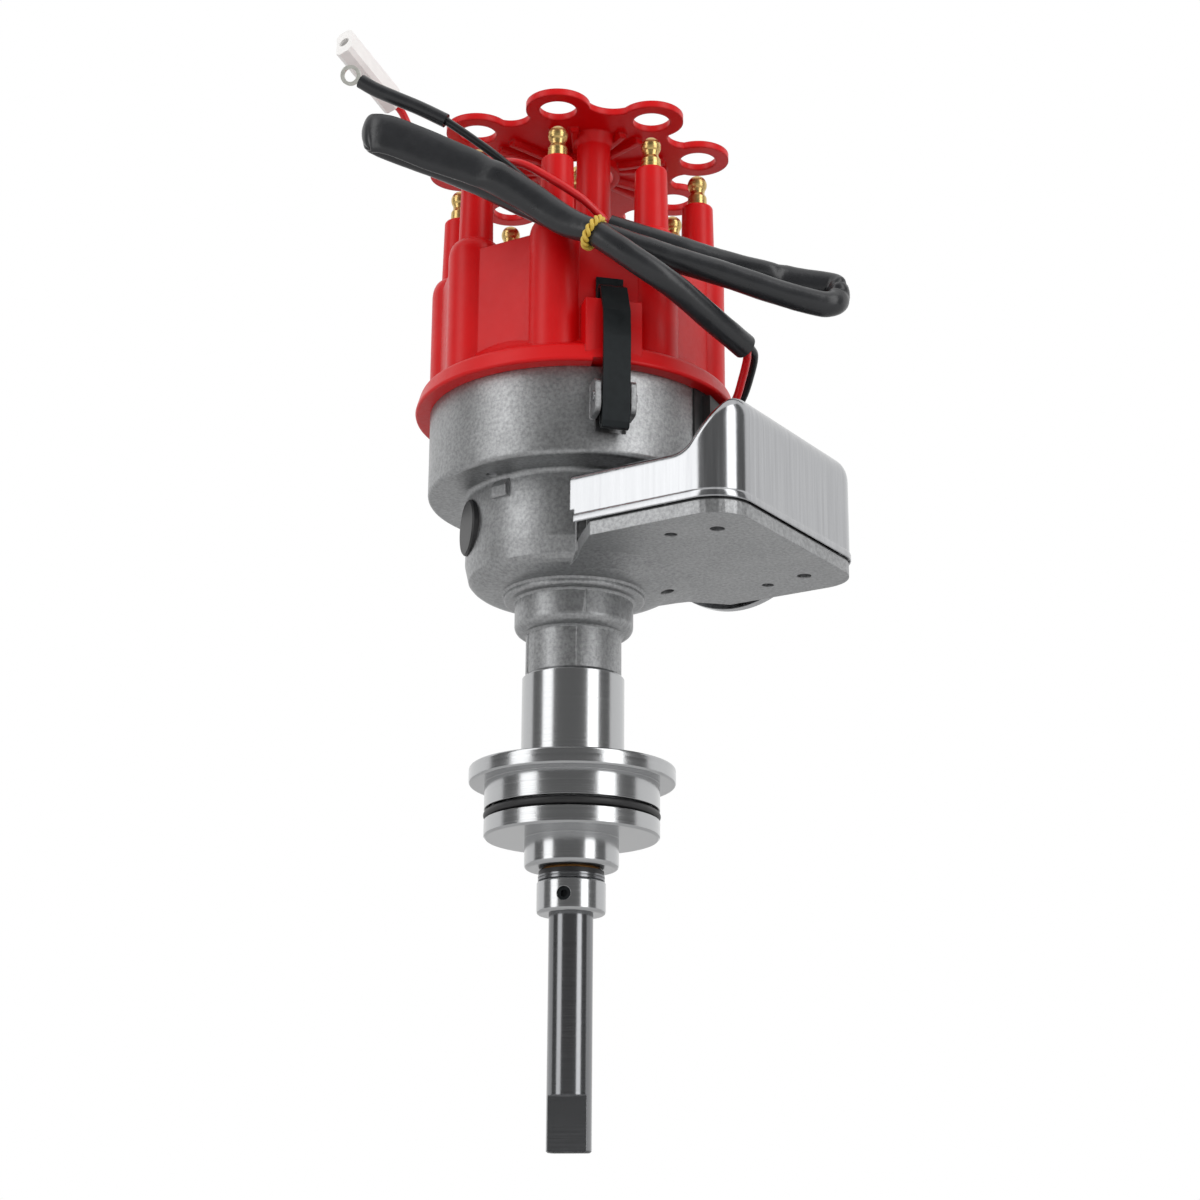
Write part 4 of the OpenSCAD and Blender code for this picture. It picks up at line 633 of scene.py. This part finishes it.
# Millimetres to the right, away and up, for facing()
LOOM = [[49, -38, 121.5], [40, -48, 124.8], [30, -56, 130.3], [24, -59.5, 133.5], [17, -60.8, 138],
        [11.5, -60.5, 142.2], [5.5, -59.2, 147], [-2, -57, 152], [-13, -55.8, 160.8],
        [-24, -55.3, 168.2], [-36.5, -55.2, 174.7], [-50.5, -55.2, 180.9], [-56.5, -54.6, 183],
        [-59.3, -53, 183.5], [-60.4, -50.8, 183.3], [-59.9, -48.3, 182.7], [-57.5, -46.8, 181.6],
        [-45.5, -46.5, 176.5], [-33, -46.5, 171], [-24.5, -46.7, 167], [-13.5, -47.2, 161],
        [-4.5, -48.8, 156.1], [5.5, -50.8, 151.2], [13, -51.2, 148.3], [20, -50.8, 146],
        [27.5, -50, 143.6], [43, -49, 139], [58.5, -47.6, 134.1], [69, -46.7, 131.5],
        [73, -46, 131.5], [75.4, -44.2, 133.4], [76.1, -42, 136.6], [74.8, -40, 139.3],
        [71.5, -39.2, 140.5], [64, -39.3, 141.8], [54, -40, 143.9], [41, -41.4, 146.5],
        [30.5, -42.4, 149.8], [17.5, -42.9, 153.9], [9.5, -43, 156.7]]
RED_LEAD = [[40.9, -19.8, 106.9], [43.6, -21, 107.1], [47, -24, 110.5], [48.8, -29, 115.4],
            [49.8, -33.5, 119], [49.8, -37, 120.6]]
BLACK_LEAD = [[42.6, -15.7, 106.9], [45.3, -16.9, 107.3], [49.3, -20.6, 112.4], [51.4, -26, 117.6],
              [52.2, -31.5, 121.3], [50.6, -36, 122.4]]
RED_TAIL = [[9.2, -42.5, 158], [5.8, -43.8, 161.3], [1, -46, 164.8], [-7.6, -47.2, 170.1],
            [-16, -47.2, 174.8], [-24.8, -43, 177.8], [-34.7, -37, 183], [-42, -30, 187],
            [-47, -23.5, 191.6], [-50, -19.4, 197], [-52, -18.6, 202.2], [-54.2, -21.2, 206],
            [-57.2, -25.4, 207.8]]
BLACK_TAIL = [[8.4, -43.4, 155.7], [3.9, -44.6, 157.6], [-3.2, -45.8, 160.9], [-8.4, -47, 163.7],
              [-13.3, -48.8, 167.3], [-22, -51, 174.2], [-31, -51.7, 181], [-38, -51.5, 186.2]]
RING_SLEEVE = [[-38, -51.5, 186.2], [-45.7, -51.5, 190.2], [-53, -51.5, 193.5], [-59, -51.5, 196.3],
               [-63.4, -51.5, 199]]

# Where the black tube is pressed: point of its route, then half height, half thickness and drop
# in millimetres
PRESSED = [[0, 3.7, 3.7, 0], [6, 3.7, 3.7, 0], [7.6, 4.6, 3.3, 1.1], [8.8, 4.9, 4.1, 1.4],
           [9.3, 5.3, 2.6, 1.8], [10.4, 6.0, 2.2, 2.5], [12.2, 6.1, 2.0, 2.7],
           [13.4, 5.6, 2.0, 1.6], [14.4, 4.8, 2.2, 0.9], [16, 4.2, 3.0, 0.2], [18, 3.7, 3.7, 0],
           [29, 3.7, 3.7, 0], [30.5, 3.9, 3.2, 0], [32, 4.1, 2.9, 0], [33.6, 4.3, 2.6, 0.2],
           [34.4, 4.5, 2.5, 0.4], [34.8, 3.6, 3.9, 0], [36, 4.2, 3.0, 0], [38, 3.9, 3.4, 0],
           [39, 3.7, 3.7, 0]]
# Creases: point of the route, depth as a share of the radius, width in points, and the side of
# the tube in radians
CREASES = [[9.12, 0.26, 0.14, 1.1], [12.9, 0.16, 0.25, 3.1], [14.5, 0.14, 0.3, 3.1],
           [30.4, 0.2, 0.18, 0.2], [31.3, 0.24, 0.16, 0.2], [32.4, 0.16, 0.2, 3.3],
           [34.6, 0.26, 0.12, 1.2]]
# The tie goes round the tube's front and rear pass, square to the tube
TIE = {"near": (5.2, -59, 147.1), "far": (5.2, -51, 150.9), "along_tube": (-7.5, 1.4, 5.0),
       "radius": 4.4, "strand": 1.15, "turns": 7}


# ---------------------------------------------------------------- operators

class DISTRIBUTOR_OT_camera(bpy.types.Operator):
    """Place the camera where the photograph was taken from"""
    bl_idname = "distributor.camera"
    bl_label = "Camera"

    def execute(self, context):
        pitch, turn = CAMERA_PITCH, CAMERA_TURN
        ahead = Vector((-math.cos(pitch) * math.sin(turn), math.cos(pitch) * math.cos(turn),
                        math.sin(pitch)))
        right = Vector((math.cos(turn), math.sin(turn), 0))
        above = right.cross(ahead)
        c, s = math.cos(CAMERA_ROLL), math.sin(CAMERA_ROLL)
        right, above = c * right - s * above, c * above + s * right
        data = bpy.data.cameras.new("photo_camera")
        data.sensor_width = 36
        data.lens = CAMERA_LENS
        data.clip_start, data.clip_end = 0.01, 50
        camera = bpy.data.objects.new("photo_camera", data)
        context.collection.objects.link(camera)
        turned = Matrix((right, above, -ahead)).transposed()
        camera.matrix_world = Matrix.Translation(CAMERA_PLACE) @ turned.to_4x4()
        context.scene.camera = camera
        return {"FINISHED"}


class DISTRIBUTOR_OT_finishes(bpy.types.Operator):
    """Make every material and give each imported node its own"""
    bl_idname = "distributor.finishes"
    bl_label = "Finishes"

    def execute(self, context):
        look = context.scene.distributor_finish
        blasted_cast_aluminium(look.cast_grey)
        turned_aluminium()
        ground_steel()
        bright_plated_steel()
        tinned_copper()
        moulded_polyester("moulded_polyester", look.cap_red, 0.6 * MM)
        moulded_polyester("thin_moulded_polyester", look.cap_red, 1.0 * MM)
        turned_brass(look.brass_yellow)
        sintered_bronze()
        nitrile_rubber()
        blackened_spring_steel()
        moulded_black_nylon()
        pressed_carbon()
        shrink_tube()
        extruded_vinyl("red_vinyl", "#d3141a")
        extruded_vinyl("black_vinyl", "#1b1b1d")
        moulded_white_nylon()
        yellow_nylon_tie()
        for name, piece in NODES.items():
            paint(piece, FINISH_OF[name])
        return {"FINISHED"}


class DISTRIBUTOR_OT_module_cover(bpy.types.Operator):
    """Draw the module's sheet cover with its rounded edges, hump and bottom lip"""
    bl_idname = "distributor.module_cover"
    bl_label = "Module cover"

    def execute(self, context):
        size = context.scene.distributor_cover
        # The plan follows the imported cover: start against the bowl, end face, side walls
        (_, _, bottom), (end, side, _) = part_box("module_cover")
        inset = 0.0004
        start, side, end = size.start, side - inset, end - inset
        corner, low, high = size.corner, size.low_roof, size.high_roof
        wall_steps, corner_steps, across, edge_steps = 44, 16, 20, 14
        # Points within two of these become one
        hair = 1e-5

        def roof(x):
            """Height of the roof at x: flat, an S-shaped rise, flat."""
            # Radii of the rise's foot and of its head, and the slope between them
            r1, r2, lean = 0.008, 0.006, math.radians(57)
            rise = high - low - (r1 + r2) * (1 - math.cos(lean))
            x1 = size.rise_start + r1 * math.sin(lean)
            x2 = x1 + rise / math.tan(lean)
            x3 = x2 + r2 * math.sin(lean)
            if x <= size.rise_start:
                return low
            if x <= x1:
                return low + r1 - math.sqrt(r1 * r1 - (x - size.rise_start) ** 2)
            if x <= x2:
                return low + r1 * (1 - math.cos(lean)) + (x - x1) * math.tan(lean)
            if x <= x3:
                return high - r2 + math.sqrt(r2 * r2 - (x3 - x) ** 2)
            return high

        def edge_radius(x):
            """Rounding of the roof's edge at x, which grows with the roof's height."""
            share = (roof(x) - low) / (high - low)
            return size.low_edge + (size.high_edge - size.low_edge) * share

        # Half of the plan with its inward directions: front wall, corner, half of the end face
        outline = [((start + (end - corner - start) * i / wall_steps, -side), (0, 1))
                   for i in range(wall_steps)]
        outline += [((end - corner + corner * math.sin(a), -side + corner - corner * math.cos(a)),
                     (-math.sin(a), math.cos(a)))
                    for a in [math.radians(90 * i / corner_steps) for i in range(corner_steps + 1)]]
        half = outline + [((end, (-side + corner) * (1 - i / across)), (-1, 0))
                          for i in range(1, across + 1)]
        whole = half + [((x, -y), (u, -v)) for (x, y), (u, v) in reversed(half[:-1])]

        def ring(depth, height=None):
            """The outline moved inwards by depth, at that height or else on the roof's edge."""
            row = []
            for (x, y), (u, v) in whole:
                px, py = x + u * depth, y + v * depth
                if height is None:
                    r = edge_radius(px)
                    sunk = r - math.sqrt(max(r * r - max(r - depth, 0) ** 2, 0))
                    row.append(Vector((px, py, roof(px) - sunk)))
                else:
                    row.append(Vector((px, py, height)))
            return row

        # From the bottom up: lip, wall and rounded edge
        proud, lip, chamfer = size.lip_proud, size.lip_height, 0.0003
        lower_wall_top, upper_wall_foot = 0.0039, 0.00392
        rows = [ring(-proud * 0.5, bottom), ring(-proud, bottom + chamfer),
                ring(-proud, bottom + lip - chamfer), ring(-proud * 0.6, bottom + lip),
                ring(0, bottom + lip + chamfer), ring(0, bottom + lower_wall_top),
                ring(0, bottom + upper_wall_foot)]
        # The lower part of the wall starts a little later than the upper part
        for row in rows[:-1]:
            for point in (row[0], row[-1]):
                point.x = start + size.end_step
            for near in (1, 2):
                for point in (row[near], row[-1 - near]):
                    point.x = max(point.x, start + size.end_step + near * hair)
        wall_top = ring(0)
        foot = rows[-1]
        rows += [[a.lerp(b, t) for a, b in zip(foot, wall_top)] for t in (0.25, 0.5, 0.75, 0.92)]
        rows += [ring(size.high_edge * (1 - math.cos(math.radians(90 * i / edge_steps))))
                 for i in range(edge_steps + 1)]
        shell = skin("drawn_cover", rows, "bright_plated_steel")

        # Roof inside the rounded edges, from the front row straight over to the back row
        inner = rows[-1]
        roof_rows = [[inner[i].lerp(inner[-1 - i], t / (2 * across)) for t in range(2 * across + 1)]
                     for i in range(len(outline))]
        plate = skin("cover_roof", roof_rows, "bright_plated_steel")
        select(shell, plate)
        bpy.ops.object.join()
        bpy.ops.object.mode_set(mode="EDIT")
        bpy.ops.mesh.select_all(action="SELECT")
        bpy.ops.mesh.remove_doubles(threshold=2 * hair)
        bpy.ops.mesh.normals_make_consistent(inside=False)
        bpy.ops.object.mode_set(mode="OBJECT")
        if sum(f.normal.z * f.area for f in shell.data.polygons) < 0:
            shell.data.flip_normals()
        apply_modifier(shell, "SOLIDIFY", thickness=size.sheet, offset=-1)

        # The bowl passes through the low end
        clear_selection()
        bpy.ops.mesh.primitive_cylinder_add(vertices=96, radius=size.bowl_clearance, depth=0.08,
                                            location=(0, 0, bottom))
        cutter = context.object
        apply_modifier(shell, "BOOLEAN", operation="DIFFERENCE", object=cutter, solver="EXACT")
        bpy.data.objects.remove(cutter)
        select(shell)
        bpy.ops.object.shade_smooth_by_angle(angle=math.radians(32))
        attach(shell, "housing")
        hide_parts("module_cover")
        return {"FINISHED"}


class DISTRIBUTOR_OT_harness(bpy.types.Operator):
    """Lay the black tube, its leads and their tails"""
    bl_idname = "distributor.harness"
    bl_label = "Harness"

    def execute(self, context):
        size = context.scene.distributor_harness
        tube, tube_path = soft_tube("loom_tube", LOOM, PRESSED, CREASES, "shrink_tube")
        tie = twisted_tie("twisted_tie", finish="yellow_nylon_tie", **TIE)
        red_in, _ = wire("red_lead_wire", RED_LEAD, size.lead_diameter, "red_vinyl")
        black_in, _ = wire("black_lead_wire", BLACK_LEAD, size.lead_diameter, "black_vinyl")
        red_out, red_path = wire("red_tail_wire", RED_TAIL, size.lead_diameter, "red_vinyl")
        black_out, black_path = wire("black_tail_wire", BLACK_TAIL, size.lead_diameter,
                                     "black_vinyl")
        sleeve, _ = wire("ring_shrink_sleeve", RING_SLEEVE, size.sleeve_diameter, "shrink_tube")
        for piece, node, slot in ((tube, "harness_sleeve", "tube_plastic"),
                                  (tie, "harness_tie", "yellow_tie"),
                                  (red_in, "red_lead", "red_wire"),
                                  (black_in, "black_lead", "black_wire"),
                                  (red_out, "red_tail", "red_wire"),
                                  (black_out, "black_tail", "black_wire"),
                                  (sleeve, "ring_sleeve", "tube_plastic")):
            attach(piece, "housing")
            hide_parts(node)
        return {"FINISHED"}


class DISTRIBUTOR_OT_stage(bpy.types.Operator):
    """Set the pale floor, the lamps and the white surroundings"""
    bl_idname = "distributor.stage"
    bl_label = "Stage"

    def execute(self, context):
        look = context.scene.distributor_stage
        # The photograph's right side is the brighter one
        right_share = 1.35
        self.floor(context, look)
        self.dark_wall(context, look)
        self.strip_lamp(context, "left_strip_lamp", bearing=-58, power=look.strip_power)
        self.strip_lamp(context, "right_strip_lamp", bearing=46,
                        power=right_share * look.strip_power)
        self.surroundings(context)
        return {"FINISHED"}

    def floor(self, context, look):
        """A pale floor of paper just under the shaft's end."""
        gap = 0.0003
        clear_selection()
        bpy.ops.mesh.primitive_plane_add(size=8, location=(0, 0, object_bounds()[0][2] - gap))
        floor = context.object
        floor.name = "studio_floor"
        bpy.ops.object.mode_set(mode="EDIT")
        bpy.ops.mesh.subdivide(number_cuts=3)
        bpy.ops.object.mode_set(mode="OBJECT")
        bpy.ops.object.transform_apply(location=True)
        material, tree, _ = new_finish("studio_floor_paper")
        paper = add(tree, "ShaderNodeBsdfPrincipled",
                    {"Base Color": tuple(look.floor_colour), "Roughness": 0.9})
        # The camera stands lower than the shaft's end, so the floor is seen only from above
        below = add(tree, "ShaderNodeNewGeometry").outputs["Backfacing"]
        clear = add(tree, "ShaderNodeBsdfTransparent")
        mixed = add(tree, "ShaderNodeMixShader",
                    {0: below, 1: paper.outputs[0], 2: clear.outputs[0]})
        add(tree, "ShaderNodeOutputMaterial", {"Surface": mixed.outputs[0]})
        floor.data.materials.append(material)
        floor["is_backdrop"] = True

    def strip_lamp(self, context, name, bearing, power):
        """A tall soft lamp, that many degrees round to the camera's right, turned to the part."""
        away, up, aimed_at = 1600, 600, Vector((0, 0, 0.08))
        data = bpy.data.lights.new(name, "AREA")
        data.shape = "RECTANGLE"
        data.size, data.size_y = 0.74, 2.4
        data.energy = power
        lamp = bpy.data.objects.new(name, data)
        context.collection.objects.link(lamp)
        turn = math.radians(bearing)
        place = facing(away * math.sin(turn), -away * math.cos(turn), up)
        aim = (place - aimed_at).to_track_quat("Z", "Y")
        lamp.matrix_world = Matrix.Translation(place) @ aim.to_matrix().to_4x4()

    def dark_wall(self, context, look):
        """The dim half of the studio round the camera, which only the reflections show."""
        # Its two ends, in degrees round to the camera's right
        left, right = -102, 90
        clear_selection()
        bpy.ops.mesh.primitive_cylinder_add(vertices=90, radius=2.6, depth=7,
                                            end_fill_type="NOTHING", location=(0, 0, 0.1))
        wall = context.object
        wall.name = "studio_dark_wall"
        bpy.ops.object.transform_apply(location=True)
        bpy.ops.object.mode_set(mode="EDIT")
        bpy.ops.mesh.select_mode(type="FACE")
        bpy.ops.mesh.select_all(action="DESELECT")
        bpy.ops.object.mode_set(mode="OBJECT")
        for face in wall.data.polygons:
            at = Matrix.Rotation(-CAMERA_TURN, 3, "Z") @ face.center
            bearing = math.degrees(math.atan2(at.x, -at.y))
            face.select = not left < bearing < right
        bpy.ops.object.mode_set(mode="EDIT")
        bpy.ops.mesh.delete(type="FACE")
        bpy.ops.object.mode_set(mode="OBJECT")
        wall.visible_camera = wall.visible_diffuse = False
        wall.visible_shadow = wall.visible_transmission = False
        material, tree, _ = new_finish("dim_studio_wall")
        dim = add(tree, "ShaderNodeEmission", {"Color": srgb("#ffffff"),
                                               "Strength": look.wall_level})
        add(tree, "ShaderNodeOutputMaterial", {"Surface": dim.outputs[0]})
        wall.data.materials.append(material)
        wall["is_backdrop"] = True

    def surroundings(self, context):
        """White all round, a little dimmer as a light than where it is seen or mirrored."""
        world = bpy.data.worlds.new("studio_surroundings")
        context.scene.world = world
        world.use_nodes = True
        tree = world.node_tree
        tree.nodes.clear()
        path = add(tree, "ShaderNodeLightPath").outputs
        seen = add(tree, "ShaderNodeMath", {0: path["Is Camera Ray"],
                                            1: path["Is Transmission Ray"]}, operation="MAXIMUM")
        seen = add(tree, "ShaderNodeMath", {0: seen.outputs[0], 1: path["Is Glossy Ray"]},
                   operation="MAXIMUM")
        soft = add(tree, "ShaderNodeBackground", {"Color": srgb("#ffffff"), "Strength": 0.8})
        white = add(tree, "ShaderNodeBackground", {"Color": srgb("#ffffff"), "Strength": 1.0})
        mixed = add(tree, "ShaderNodeMixShader",
                    {0: seen.outputs[0], 1: soft.outputs[0], 2: white.outputs[0]})
        add(tree, "ShaderNodeOutputWorld", {"Surface": mixed.outputs[0]})
        context.scene.view_settings.view_transform = "Standard"


class DISTRIBUTOR_PT_panel(bpy.types.Panel):
    """Lists the settings and the steps that dress the distributor"""
    bl_idname = "DISTRIBUTOR_PT_panel"
    bl_label = "Distributor"
    bl_space_type = "VIEW_3D"
    bl_region_type = "UI"
    bl_category = "Distributor"

    def draw(self, context):
        for group in (context.scene.distributor_harness, context.scene.distributor_cover,
                      context.scene.distributor_finish, context.scene.distributor_stage):
            box = self.layout.box()
            for name in group.__annotations__:
                box.prop(group, name)
        for step in STEPS:
            self.layout.operator(step.bl_idname)


STEPS = (DISTRIBUTOR_OT_camera, DISTRIBUTOR_OT_finishes, DISTRIBUTOR_OT_harness,
         DISTRIBUTOR_OT_module_cover, DISTRIBUTOR_OT_stage)
GROUPS = (HarnessSettings, CoverSettings, FinishSettings, StageSettings)


def register():
    for cls in GROUPS + STEPS + (DISTRIBUTOR_PT_panel,):
        bpy.utils.register_class(cls)
    bpy.types.Scene.distributor_harness = PointerProperty(type=HarnessSettings)
    bpy.types.Scene.distributor_cover = PointerProperty(type=CoverSettings)
    bpy.types.Scene.distributor_finish = PointerProperty(type=FinishSettings)
    bpy.types.Scene.distributor_stage = PointerProperty(type=StageSettings)


def unregister():
    del bpy.types.Scene.distributor_stage
    del bpy.types.Scene.distributor_finish
    del bpy.types.Scene.distributor_cover
    del bpy.types.Scene.distributor_harness
    for cls in reversed(GROUPS + STEPS + (DISTRIBUTOR_PT_panel,)):
        bpy.utils.unregister_class(cls)


def main():
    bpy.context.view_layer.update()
    register()
    for step in (bpy.ops.distributor.camera, bpy.ops.distributor.finishes,
                 bpy.ops.distributor.harness, bpy.ops.distributor.module_cover,
                 bpy.ops.distributor.stage):
        step()


if __name__ == "__main__":
    main()
